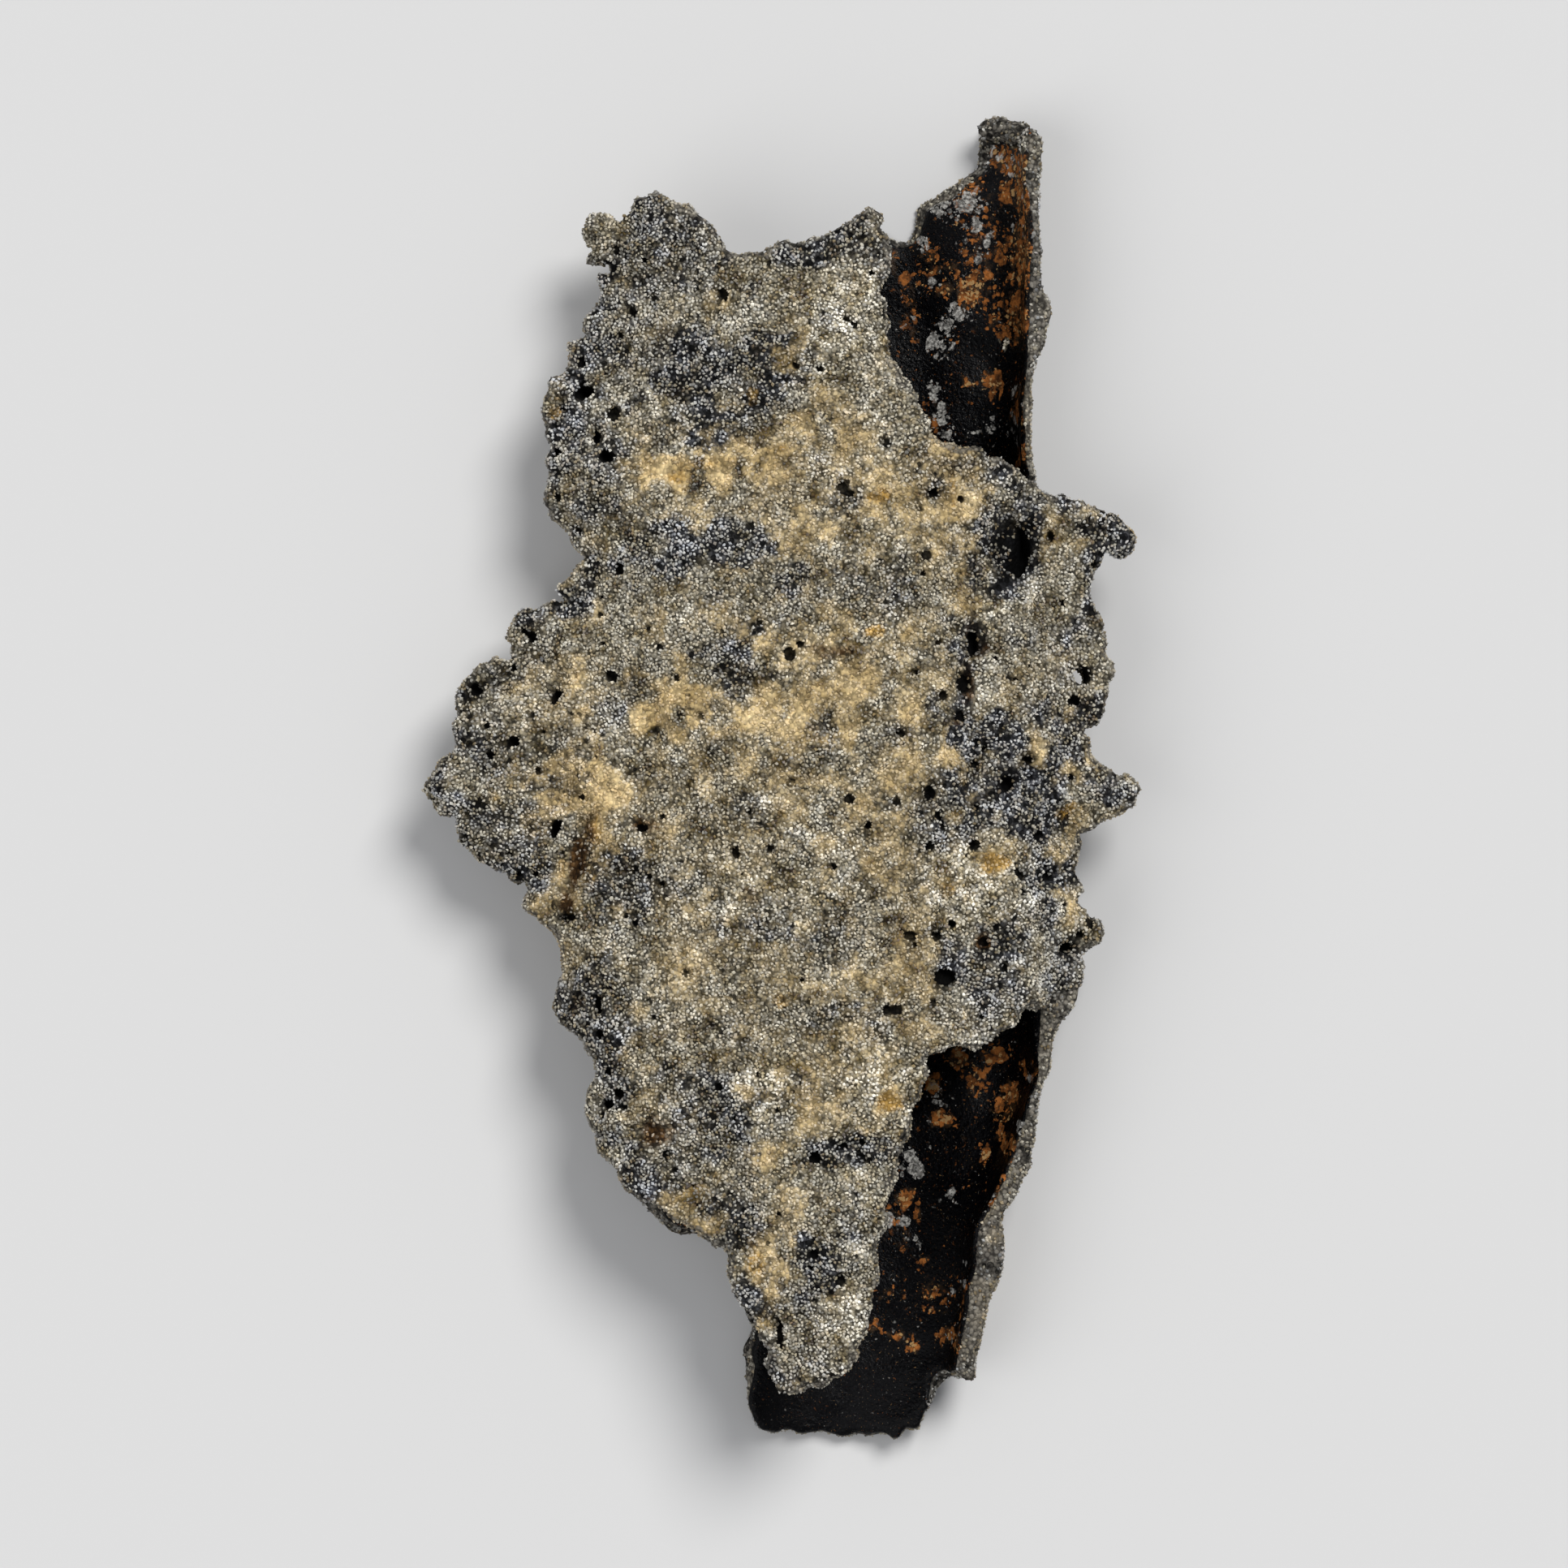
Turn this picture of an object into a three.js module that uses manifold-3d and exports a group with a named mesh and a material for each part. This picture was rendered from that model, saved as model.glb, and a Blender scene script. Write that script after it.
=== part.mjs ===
// A broken length of fulgurite, the glassy tube that lightning melts in dry sand.
// It lies on its back: +Y runs along the tube, +Z points up, away from the surface it rests on.
// The origin is at the middle of its footprint. Every size is in millimetres.

import * as THREE from 'three';
import { mergeVertices } from 'three/addons/utils/BufferGeometryUtils.js';
import Module from 'manifold-3d';

const wasm = await Module();
wasm.setup();

// Driving dimensions
const WALL = 1.1; // fused sand round the bore
const FLATTENED = 0.3; // worn off the lowest ridge, where the piece rests
const LEFT_POWER = 1.7; // of the bore's section: 2 would be an ellipse, less is more pinched
const RIGHT_POWER = 2.3; // more than 2 is boxier
const BROKEN_LEVEL = 4.2; // height at which the front wall broke away from the back wall
const WING_THICKNESS = 2.6;
const WING_EDGE = 0.7; // how far the wing's edge is rounded
const WING_EDGE_STEPS = 2; // facets that round the wing's edge
const AROUND = 40; // facets round the tube
const KNOB_AROUND = 16; // and round each knob
const KNOB_RINGS = 12;
const BLISTER_AROUND = 12;
const BLISTER_RINGS = 8;
const RING_STEP = 2.0; // spacing of the rings along the tube
const SWELL = 0.073; // how far each wave of the crust bulges in and out
// Those waves: how far each runs on for every millimetre along, how many lobes it has round the
// tube, and where it starts, in radians
const CRUST_WAVES = [[0.9, 0, 0], [0.37, 2, 0], [0.5, 3, 0], [-0.8, 5, Math.PI / 2]];

// The bore, from the bottom end to the top: y, left edge, tallest place, right edge, half height.
// It is pinched shut on the left, where its two walls run together into the wing.
const BORE = [
  [-30.0, -4.4, 1.6, 6.5, 2.8],
  [-22.5, -6.2, 2.0, 7.9, 3.0],
  [-17.0, -7.2, 2.2, 9.2, 3.2],
  [-12.0, -7.4, 2.6, 10.5, 3.3],
  [-5.0, -8.2, 2.8, 11.1, 3.4],
  [2.0, -8.4, 2.8, 10.5, 3.4],
  [9.0, -6.6, 2.8, 9.9, 3.3],
  [16.0, -6.6, 3.0, 9.7, 3.1],
  [23.0, -5.6, 3.4, 10.0, 3.0],
  [30.0, -5.0, 3.4, 9.9, 2.9],
];

// The ragged sheet on both sides of the tube, anticlockwise from the notch in its top edge
const WING_OUTLINE = [
  [-2.4, 22.3], [-3.1, 23.4], [-4.1, 24.4], [-5.9, 25.1], [-6.9, 24.9], [-8.7, 24.3],
  [-8.3, 22.4], [-8.5, 20.3], [-9.0, 18.5], [-10.0, 16.8], [-10.4, 15.2], [-10.1, 12.6],
  [-9.3, 10.6], [-8.7, 9.4], [-9.7, 8.2], [-11.2, 7.5], [-12.0, 5.9], [-13.9, 4.2],
  [-14.4, 2.8], [-14.2, 1.6], [-15.1, 0.5], [-15.6, -0.6], [-14.7, -1.4], [-13.8, -2.5],
  [-12.4, -3.7], [-11.1, -5.1], [-9.8, -7.2], [-9.7, -8.4], [-9.9, -9.8], [-9.4, -10.8],
  [-8.2, -11.9], [-8.1, -13.0], [-8.5, -14.4], [-7.8, -15.7], [-7.1, -16.8], [-5.0, -17.4],
  [2.0, -12.0], [9.6, -9.8], [12.6, -9.2], [13.0, -7.6], [13.7, -6.5], [13.2, -5.6],
  [12.6, -4.8], [12.7, -3.2], [13.2, -2.1], [15.0, -1.4], [15.7, -0.4], [14.4, 0.3],
  [13.2, 1.0], [12.9, 1.9], [13.7, 3.1], [13.9, 4.9], [13.7, 6.6], [13.6, 8.4],
  [14.5, 8.9], [15.2, 9.6], [15.0, 10.8], [14.1, 11.5], [12.7, 12.0], [10.8, 12.5],
  [9.9, 13.3], [2.0, 15.0],
];

// What is left of the front wall, anticlockwise from its top notch. It stays clear of the wings.
const FRONT_WALL = [
  [-2.4, 22.4], [-3.2, 23.6], [-4.2, 24.6], [-5.9, 25.3], [-7.0, 25.1], [-8.9, 24.6],
  [-20.0, 24.6], [-20.0, -14.0], [-9.6, -14.4], [-7.6, -16.4], [-6.0, -18.2], [-4.3, -18.8],
  [-3.4, -19.3], [-2.5, -20.4], [-1.7, -22.3], [-0.9, -23.7], [-0.5, -24.9], [-0.3, -26.0],
  [0.7, -26.0], [2.6, -25.3], [3.0, -24.4], [3.6, -22.8], [3.9, -20.5], [4.3, -17.9],
  [4.8, -16.5], [5.3, -14.4], [5.7, -13.2], [6.2, -11.7], [8.2, -11.7], [9.1, -10.9],
  [11.0, -9.5], [12.9, -9.4], [20.0, -9.4], [20.0, 12.4], [11.0, 12.4], [9.9, 13.4],
  [8.7, 14.0], [7.4, 14.1], [6.2, 14.7], [5.7, 16.1], [5.0, 17.5], [4.2, 18.9],
  [4.3, 21.7], [4.1, 23.4], [3.8, 24.4], [3.0, 24.2], [1.1, 23.2], [-1.0, 22.6],
];

// What is left of the back wall, anticlockwise from its top left
const BACK_WALL = [
  [-2.7, 22.2], [-3.4, 23.8], [-4.2, 24.6], [-5.9, 25.3], [-7.0, 25.1], [-8.9, 24.6],
  [-20.0, 24.6], [-20.0, -14.0], [-9.6, -14.6], [-7.6, -17.0], [-5.7, -18.9], [-3.8, -20.0],
  [-2.7, -20.3], [-2.2, -22.1], [-1.5, -24.0], [-1.7, -25.9], [-1.4, -27.1], [-0.9, -28.2],
  [0.7, -28.6], [5.2, -28.6], [5.8, -28.2], [6.9, -25.6], [8.4, -25.6], [20.0, -25.6],
  [20.0, 28.0], [11.1, 28.0], [9.6, 28.6], [8.7, 28.5], [8.3, 26.6], [7.4, 25.7],
  [5.9, 25.2], [5.3, 23.6], [2.9, 23.4], [-0.3, 21.9],
];

// Holes that burst right through the wings: x, y, half width, half length
const BURST_HOLES = [
  [-8.8, 16.6, 0.45, 0.25],
  [-10.1, 3.5, 0.32, 0.3],
  [-11.9, 1.5, 0.28, 0.25],
  [-10.0, -2.2, 0.4, 0.28],
  [13.2, 4.5, 0.32, 0.3],
];
const HOLE_SIDES = 10;

// The largest blister in the front wall, which collapsed into a deep pit
const BLISTER = { x: 9.7, y: 10.1, z: 7.0, halfWidth: 0.7, halfLength: 1.3, depth: 0.9 };

// Knobs under the back of the left wing, which carry it: x, y, half width, half length
const KNOBS = [
  [-6.6, 7.6, 1.7, 3.2],
  [-7.8, 1.4, 1.8, 4.4],
  [-7.2, -7.0, 1.9, 4.6],
];
const KNOB_CENTRE = 2.2; // height of a knob's middle
const KNOB_HEIGHT = 2.5; // from its middle to its lowest point, before it was worn flat

// The solids that cut the piece reach past it: this far up or down, and this far sideways
const TALL = 20;
const FAR = 60;

function solidOf(geometry) {
  const bare = geometry.index ? geometry.toNonIndexed() : geometry.clone();
  bare.deleteAttribute('normal');
  bare.deleteAttribute('uv');
  const merged = mergeVertices(bare, 1e-4);
  return new wasm.Manifold(new wasm.Mesh({
    numProp: 3,
    vertProperties: Float32Array.from(merged.attributes.position.array),
    triVerts: Uint32Array.from(merged.index.array),
  }));
}

function geometryOf(solid) {
  const mesh = solid.getMesh();
  const geometry = new THREE.BufferGeometry();
  geometry.setAttribute('position', new THREE.BufferAttribute(mesh.vertProperties, 3));
  geometry.setIndex(new THREE.BufferAttribute(mesh.triVerts, 1));
  geometry.computeVertexNormals();
  return geometry;
}

function outlineShape(points) {
  return new THREE.Shape(points.map(([x, y]) => new THREE.Vector2(x, y)));
}

// The bore's section at y, between the two nearest places listed
function boreAt(y) {
  const above = Math.max(1, BORE.findIndex((place) => place[0] >= y));
  const share = THREE.MathUtils.inverseLerp(BORE[above - 1][0], BORE[above][0], y);
  const [, left, middle, right, halfHeight] = BORE[above].map(
    (value, column) => THREE.MathUtils.lerp(BORE[above - 1][column], value, share),
  );
  return { left, middle, right, halfHeight };
}

// Gentle swellings of the crust: waves of different lengths, along the tube and round it
function crustSwell(y, angle) {
  const waves = CRUST_WAVES.map(([along, lobes, start]) => (
    Math.sin(along * y + lobes * angle + start)));
  return SWELL * waves.reduce((sum, wave) => sum + wave);
}

// A unit cylinder, turned into the bore (wall = 0) or the outside of the tube
function tubeSolid(wall, swells) {
  const bottom = BORE[0][0];
  const top = BORE[BORE.length - 1][0];
  const steps = Math.round((top - bottom) / RING_STEP);
  const profile = [new THREE.Vector2(0, bottom)];
  for (let i = 0; i <= steps; i += 1) {
    profile.push(new THREE.Vector2(1, THREE.MathUtils.lerp(bottom, top, i / steps)));
  }
  profile.push(new THREE.Vector2(0, top));
  const geometry = new THREE.LatheGeometry(profile, AROUND);
  const position = geometry.attributes.position;
  for (let i = 0; i < position.count; i += 1) {
    const y = position.getY(i);
    const radius = Math.hypot(position.getX(i), position.getZ(i));
    const angle = Math.atan2(position.getZ(i), position.getX(i));
    const bore = boreAt(y);
    const onLeft = Math.cos(angle) < 0;
    const power = onLeft ? LEFT_POWER : RIGHT_POWER;
    const round = (value) => Math.sign(value) * Math.abs(value) ** (2 / power);
    const skin = wall + (swells ? crustSwell(y, angle) : 0);
    const across = (onLeft ? bore.middle - bore.left : bore.right - bore.middle) + skin;
    const up = bore.halfHeight + skin;
    const height = bore.halfHeight + WALL - FLATTENED;
    position.setX(i, bore.middle + across * radius * round(Math.cos(angle)));
    position.setZ(i, height + up * radius * round(Math.sin(angle)));
  }
  return solidOf(geometry);
}

function wingSolid() {
  const geometry = new THREE.ExtrudeGeometry(outlineShape(WING_OUTLINE), {
    depth: WING_THICKNESS - 2 * WING_EDGE,
    bevelEnabled: true,
    bevelThickness: WING_EDGE,
    bevelSize: WING_EDGE,
    bevelOffset: -WING_EDGE,
    bevelSegments: WING_EDGE_STEPS,
  });
  geometry.translate(0, 0, BROKEN_LEVEL - WING_THICKNESS / 2 + WING_EDGE);
  return solidOf(geometry);
}

function knobSolid([x, y, halfWidth, halfLength]) {
  const geometry = new THREE.SphereGeometry(1, KNOB_AROUND, KNOB_RINGS);
  geometry.rotateX(Math.PI / 2);
  geometry.scale(halfWidth, halfLength, KNOB_HEIGHT);
  geometry.translate(x, y, KNOB_CENTRE);
  return solidOf(geometry);
}

// Everything outside an outline, between two heights
function cutterOutside(outline, low, high) {
  const block = outlineShape([[-FAR, -FAR], [FAR, -FAR], [FAR, FAR], [-FAR, FAR]]);
  block.holes.push(new THREE.Path(outline.map(([x, y]) => new THREE.Vector2(x, y))));
  const geometry = new THREE.ExtrudeGeometry(block, { depth: high - low, bevelEnabled: false });
  geometry.translate(0, 0, low);
  return solidOf(geometry);
}

function burstHole([x, y, halfWidth, halfLength]) {
  const geometry = new THREE.CylinderGeometry(1, 1, TALL, HOLE_SIDES);
  geometry.rotateX(Math.PI / 2);
  geometry.scale(halfWidth, halfLength, 1);
  geometry.translate(x, y, TALL / 2 - 1);
  return solidOf(geometry);
}

function blisterPit() {
  const geometry = new THREE.SphereGeometry(1, BLISTER_AROUND, BLISTER_RINGS);
  geometry.scale(BLISTER.halfWidth, BLISTER.halfLength, BLISTER.depth);
  geometry.translate(BLISTER.x, BLISTER.y, BLISTER.z);
  return solidOf(geometry);
}

function surfaceBelow() {
  const geometry = new THREE.BoxGeometry(2 * FAR, 2 * FAR, TALL);
  geometry.translate(0, 0, -TALL / 2);
  return solidOf(geometry);
}

function tubeWithWings() {
  let solid = tubeSolid(WALL, true).add(wingSolid());
  KNOBS.forEach((knob) => { solid = solid.add(knobSolid(knob)); });
  solid = solid.subtract(tubeSolid(0, false));
  solid = solid.subtract(cutterOutside(FRONT_WALL, BROKEN_LEVEL, TALL));
  solid = solid.subtract(cutterOutside(BACK_WALL, -TALL, BROKEN_LEVEL));
  BURST_HOLES.forEach((hole) => { solid = solid.subtract(burstHole(hole)); });
  return solid.subtract(blisterPit()).subtract(surfaceBelow());
}

const crust = new THREE.MeshStandardMaterial({ color: 0x8d8672, roughness: 0.85, metalness: 0 });
const tube = new THREE.Mesh(geometryOf(tubeWithWings()), crust);
tube.name = 'fulgurite_tube';

const fulgurite = new THREE.Group();
fulgurite.add(tube);

export default fulgurite;
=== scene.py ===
"""A broken length of fulgurite: a flattened tube of fused sand, lying on its back."""
import math
from functools import partial

import bpy
import numpy as np
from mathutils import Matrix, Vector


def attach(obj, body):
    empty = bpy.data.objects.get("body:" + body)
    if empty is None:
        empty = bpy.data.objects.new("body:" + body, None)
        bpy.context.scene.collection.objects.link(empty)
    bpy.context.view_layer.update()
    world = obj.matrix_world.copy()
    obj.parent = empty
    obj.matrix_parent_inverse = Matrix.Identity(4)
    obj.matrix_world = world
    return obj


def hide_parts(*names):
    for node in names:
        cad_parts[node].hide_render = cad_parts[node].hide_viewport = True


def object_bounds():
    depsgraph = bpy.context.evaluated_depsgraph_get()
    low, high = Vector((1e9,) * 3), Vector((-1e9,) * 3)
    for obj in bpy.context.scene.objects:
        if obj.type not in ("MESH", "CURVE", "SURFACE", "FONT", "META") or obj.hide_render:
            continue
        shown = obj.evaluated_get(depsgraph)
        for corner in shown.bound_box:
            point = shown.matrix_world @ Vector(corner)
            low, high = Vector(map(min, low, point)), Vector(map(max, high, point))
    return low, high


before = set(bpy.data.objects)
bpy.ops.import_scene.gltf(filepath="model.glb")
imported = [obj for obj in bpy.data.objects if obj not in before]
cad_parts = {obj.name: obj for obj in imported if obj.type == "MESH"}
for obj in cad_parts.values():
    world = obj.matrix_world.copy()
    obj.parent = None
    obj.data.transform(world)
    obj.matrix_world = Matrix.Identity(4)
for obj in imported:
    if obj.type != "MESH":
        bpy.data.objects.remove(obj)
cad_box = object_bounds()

MM = 0.001  # every size below is in millimetres
NODE = "fulgurite_tube"
BODY = "root"
SAMPLING = 0.17  # between the points where the shape is worked out
MARGIN_BELOW = 1.0  # how far those points go on past the bounds of the solid
MARGIN_ABOVE = 1.2
MOST_FACES = 196_000  # triangles of the body, after it is thinned
SMALLEST = 1e-4  # keeps a number off nought before it is raised to a power

# ---------------------------------------------------------------- the tube
WALL = 1.1
FLATTENED = 0.3  # worn off the lowest ridge
LEFT_POWER = 1.7  # of the bore's section: 2 would be an ellipse, less is more pinched
RIGHT_POWER = 2.3
THINNED_ABOVE = 0.5  # how much thinner the wall is along the right side of the upper opening
THINNED_BELOW = 0.35  # and of the lower opening
THINNED_ABOVE_Y = (9.5, 12.0)
THINNED_BELOW_Y = (-8.0, -11.0)
THINNED_X = (7.5, 9.5)
NARROWED = 0.55  # how far the bore's right side comes inwards in the lower opening
NARROWED_AT = -19.6
NARROWED_ALONG = 2.2
NARROWED_X = (5.5, 8.0)
GLASS_LAYER = 0.35  # the least that is left of the wall under a pit
FLOOR_GAP = 0.1  # the grains, not the crust, touch the surface below
FRONT_BAND = (-0.5, 1.5)  # above the bore's middle, where the front wall begins and is full
BACK_BAND = (0.0, -2.0)

# The bore, from the bottom end to the top: y, left edge, tallest place, right edge, half height
BORE = np.array([
    [-30.0, -4.4, 1.6, 6.5, 2.8],
    [-22.5, -6.2, 2.0, 7.9, 3.0],
    [-17.0, -7.2, 2.2, 9.2, 3.2],
    [-12.0, -7.4, 2.6, 10.5, 3.3],
    [-5.0, -8.2, 2.8, 11.1, 3.4],
    [2.0, -8.4, 2.8, 10.5, 3.4],
    [9.0, -6.6, 2.8, 9.9, 3.3],
    [16.0, -6.6, 3.0, 9.7, 3.1],
    [23.0, -5.6, 3.4, 10.0, 3.0],
    [30.0, -5.0, 3.4, 9.9, 2.9],
])

# ---------------------------------------------------------------- wings, breaks and holes
WING_EDGE_HALF = 0.55  # half the wing's thickness at its edge
WING_ROOT_HALF = 1.35
WING_TAPER = 3.5  # how far in from its edge it is full thickness
EDGE_ROUNDING = 0.13  # what the rounding of a ragged edge would take off its outline
LESS_RAGGED = 0.3  # where the back wall's edge shows past the front wall's
BROKEN_LEVEL = 4.2  # height at which the front wall broke away from the back wall
BREAK_SLANT = 0.55  # how far a broken edge of the back wall slopes over the wall's thickness
BREAK_SLANT_Y = (-27.5, -25.5)
TIP_SLANT = 0.55  # and how much further it slopes at the upper end
TIP_SLANT_Y = (17.0, 21.0)
SLANT_X = (10.6, 9.8)
LIP_WORN = 0.6  # and how far it is worn back again at the outer skin
LIP_SKIN = (0.55 * WALL, 1.3 * WALL)
LIP_Y = (19.0, 22.0)
HOLE_SLANT = 0.55  # how far sideways a burst hole goes for each millimetre down
HOLE_REACH = (3.5, 2.0, 6.0)

# How roundly one shape runs into the next
SOFT_WING = 1.8
SOFT_WING_EDGE = 0.7
SOFT_KNOB = 1.2
SOFT_GLASS = 0.1
SOFT_BORE = 0.25
SOFT_WALLS = 0.2
SOFT_BREAK = 0.3
SOFT_HOLE = 0.15
SOFT_PIT = 0.12
SOFT_BEAD = 0.2
SOFT_TIP_LUMP = 0.4
SOFT_VESICLE = 0.08
SOFT_FLOOR = 0.05

# Layers of lumps and waves: height, size across, seed
RAGGED_EDGE = [(0.15, 0.8, 31), (0.1, 0.4, 32)]
WORN_EDGE = [(0.12, 1.6, 33)]
WING_WAVES = [(0.35, 6.0, 21), (0.2, 2.4, 22)]
WING_SWELLS = [(0.22, 1.3, 23)]
BROAD_LUMPS = [(0.2, 3.2, 1)]
LONG_LUMPS = [(0.16, 1.5, 2)]
SMALL_LUMPS = [(0.13, 0.8, 3), (0.07, 0.45, 4)]
BORE_LUMPS = [(0.16, 2.6, 6), (0.07, 1.0, 7)]
CRUMBLED_BREAK = [(0.14, 0.9, 8), (0.07, 0.45, 9)]
BREAK_WAVES = [(0.35, 2.8, 10)]
CRACK_WANDER = [(0.1, 0.5, 43)]
RAGGED_HOLE = [(0.06, 0.4, 41)]
LONG_LUMPS_CROSSWISE = 1.4  # how many times longer they are across than along
FOLD_SIZE = 1.7
FOLD_SEED = 5
FOLD_STRETCH = 0.35
FRONT_FOLDS = 0.12
BACK_FOLDS = 0.2

# ---------------------------------------------------------------- bubbles, beads and grains
VESICLES = 2400  # tried, of which those that miss the piece are left out
VESICLE_SEED = 61
VESICLES_IN_FRONT = 0.4
VESICLES_INLAND = 0.4  # of those on the front, how many stay away from its edges
EDGE_STRIP = 3.0
VESICLE_RADIUS = 0.1
VESICLE_GROWTH = 0.22
VESICLE_RARITY = 4  # the more, the fewer big ones
VESICLE_WIDTH = (0.8, 1.3)
VESICLE_DEPTH = (1.0, 1.8)
BEAD_SEED = 51
BEADS_PER_SIDE = 2
BEAD_INWARD = (0.05, 0.3)
BEAD_RADIUS = (0.18, 0.4)
BEAD_SUNK = (0.2, 1.0)
FOAM_SIZE = 0.34  # across the cell that holds each small bubble
FOAM_IN_SLATE = 0.75
FOAM_ELSEWHERE = 0.12
GRAIN_SPACING = 0.123  # least distance between two sand grains
GRAIN_SIZE = 0.158
GRAIN_STRETCH = (0.6, 1.5)
GRAIN_SIDES = 6
GRAIN_SEED = 7
GRAIN_TRIES = 3.5  # places tried for a grain on each square of the spacing
MAP_CELLS = 128  # along each side of the grains' own map
MAP_INNER = 0.8  # of each cell of the map that its grain takes up
# Each kind of grain: its name, its colour and how strongly it shows over the sand's own
GRAIN_KINDS = [
    ("milky_grains", (204, 198, 182), 0.38),
    ("cream_grains", (182, 171, 144), 0.3),
    ("grey_grains", (140, 138, 132), 0.35),
    ("honey_grains", (152, 130, 94), 0.3),
    ("smoky_grains", (66, 62, 55), 0.6),
]
# How bare of grains each mark leaves the crust
BARE_MARKS = [("glass", 3.0), ("tan", 0.35), ("rim", 0.5), ("brown", 0.8), ("shade_and_dark", 0.6)]
BARE_BUBBLES = 0.9
BARE_PIT = (0.1, 0.75)

# ---------------------------------------------------------------- the front's plan
# Places on the front are read from a plan, whose units are this long and whose y runs downwards
PLAN_UNIT = 0.035
PLAN_MIDDLE = (967.5, 959.0)  # the plan's point above the frame's origin

# The ragged left edge of the piece, from the notch in its top edge down to the slanting break
LEFT_EDGE = [
    (905, 318), (893, 312), (882, 292), (868, 275), (850, 262), (830, 252), (812, 243), (800, 246),
    (788, 242), (772, 252), (758, 264), (746, 261), (732, 259), (721, 267), (718, 284), (723, 300),
    (727, 318), (733, 336), (730, 358), (727, 380), (718, 398), (722, 412), (705, 425), (704, 446),
    (690, 458), (680, 472), (674, 500), (670, 522), (676, 540), (678, 556), (672, 566), (680, 585),
    (676, 610), (682, 632), (694, 648), (704, 660), (706, 678), (716, 690), (712, 706), (698, 716),
    (688, 730), (670, 735), (650, 745), (634, 758), (626, 778), (624, 800), (604, 814), (590, 822),
    (575, 835), (562, 846), (558, 866), (562, 882), (551, 890), (556, 906), (564, 914), (553, 932),
    (538, 940), (530, 956), (520, 975), (530, 990), (546, 1002), (562, 1008), (566, 1030), (572, 1045),
    (590, 1056), (604, 1068), (620, 1082), (634, 1094), (648, 1102), (656, 1118), (668, 1136),
    (680, 1150), (692, 1166), (690, 1186), (694, 1204), (684, 1222), (682, 1240), (692, 1256),
    (702, 1272), (722, 1284), (732, 1300), (733, 1330), (726, 1352), (723, 1374), (730, 1390),
    (744, 1406), (750, 1424),
]
# The front wall's break: slanting down to the tip of its tongue, and up the side of the window
FRONT_BREAK = [
    (762, 1440), (776, 1460), (796, 1477), (818, 1489), (845, 1496), (868, 1508), (886, 1522),
    (895, 1543), (903, 1566), (919, 1598), (932, 1620), (941, 1637), (950, 1664), (952, 1690),
    (962, 1703), (988, 1703), (1008, 1696), (1030, 1686), (1047, 1680), (1055, 1655), (1066, 1612),
    (1074, 1570), (1080, 1540), (1088, 1485), (1099, 1440), (1112, 1400), (1122, 1365), (1130, 1334),
    (1140, 1305), (1148, 1292), (1176, 1290), (1203, 1294), (1226, 1270), (1250, 1252), (1282, 1230),
    (1312, 1216), (1330, 1214),
]
# The right edge with its spikes, upwards
RIGHT_EDGE = [
    (1336, 1195), (1334, 1180), (1346, 1170), (1357, 1158), (1356, 1140), (1344, 1126), (1332, 1112),
    (1327, 1095), (1328, 1070), (1334, 1048), (1336, 1030), (1352, 1020), (1375, 1010), (1396, 998),
    (1408, 984), (1415, 970), (1404, 962), (1382, 952), (1360, 942), (1348, 930), (1338, 912),
    (1336, 898), (1352, 890), (1361, 872), (1362, 850), (1370, 838), (1371, 818), (1360, 806),
    (1368, 790), (1366, 770), (1360, 750), (1357, 725), (1355, 706), (1368, 698), (1380, 702),
    (1396, 700), (1402, 686), (1396, 668), (1394, 648), (1380, 634), (1362, 625), (1340, 620),
    (1318, 612), (1290, 607), (1268, 600),
]
# The front wall's top: along the upper window and over to the notch
FRONT_TOP = [
    (1256, 585), (1248, 574), (1222, 562), (1200, 560), (1180, 556), (1160, 552), (1148, 538),
    (1140, 520), (1130, 498), (1118, 478), (1105, 460), (1096, 440), (1092, 415), (1088, 390),
    (1084, 360), (1090, 335), (1091, 312), (1085, 294), (1080, 280), (1084, 270), (1070, 263),
    (1056, 266), (1045, 276), (1038, 284), (1010, 294), (985, 298), (965, 308), (940, 312), (920, 316),
]
# The back wall's break, which shows a little past the front wall's, and its lower right rim
BACK_BREAK = [
    (762, 1442), (776, 1470), (795, 1490), (806, 1500), (826, 1520), (842, 1524), (858, 1529),
    (875, 1540), (890, 1540), (897, 1560), (905, 1590), (916, 1616), (926, 1643), (920, 1672),
    (919, 1699), (923, 1718), (928, 1733), (936, 1752), (942, 1766), (956, 1772), (972, 1766),
    (990, 1777), (1012, 1770), (1036, 1780), (1058, 1774), (1072, 1779), (1094, 1771), (1106, 1776),
    (1118, 1762), (1132, 1764), (1140, 1744), (1152, 1736), (1158, 1714), (1172, 1699), (1197, 1696),
    (1206, 1672), (1213, 1640), (1222, 1600), (1230, 1570), (1236, 1530), (1240, 1500), (1246, 1480),
    (1256, 1452), (1270, 1434), (1275, 1400), (1280, 1370), (1284, 1345), (1292, 1318), (1298, 1285),
    (1306, 1265), (1322, 1246), (1330, 1230),
]
# The back wall's upper end: up its right rim, over the tip and down behind the front wall
BACK_TOP = [
    (1271, 585), (1273, 540), (1274, 500), (1276, 450), (1283, 425), (1288, 405), (1297, 385),
    (1296, 370), (1288, 358), (1284, 330), (1285, 280), (1284, 220), (1286, 190), (1284, 170),
    (1271, 156), (1255, 145), (1242, 136), (1222, 133), (1207, 138), (1201, 158), (1199, 194),
    (1188, 206), (1174, 216), (1150, 224), (1132, 230), (1120, 244), (1121, 264), (1114, 274),
    (1104, 272), (1096, 266), (1086, 266), (1072, 268), (1050, 290), (1010, 330), (960, 345),
    (920, 338), (905, 325),
]

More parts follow.
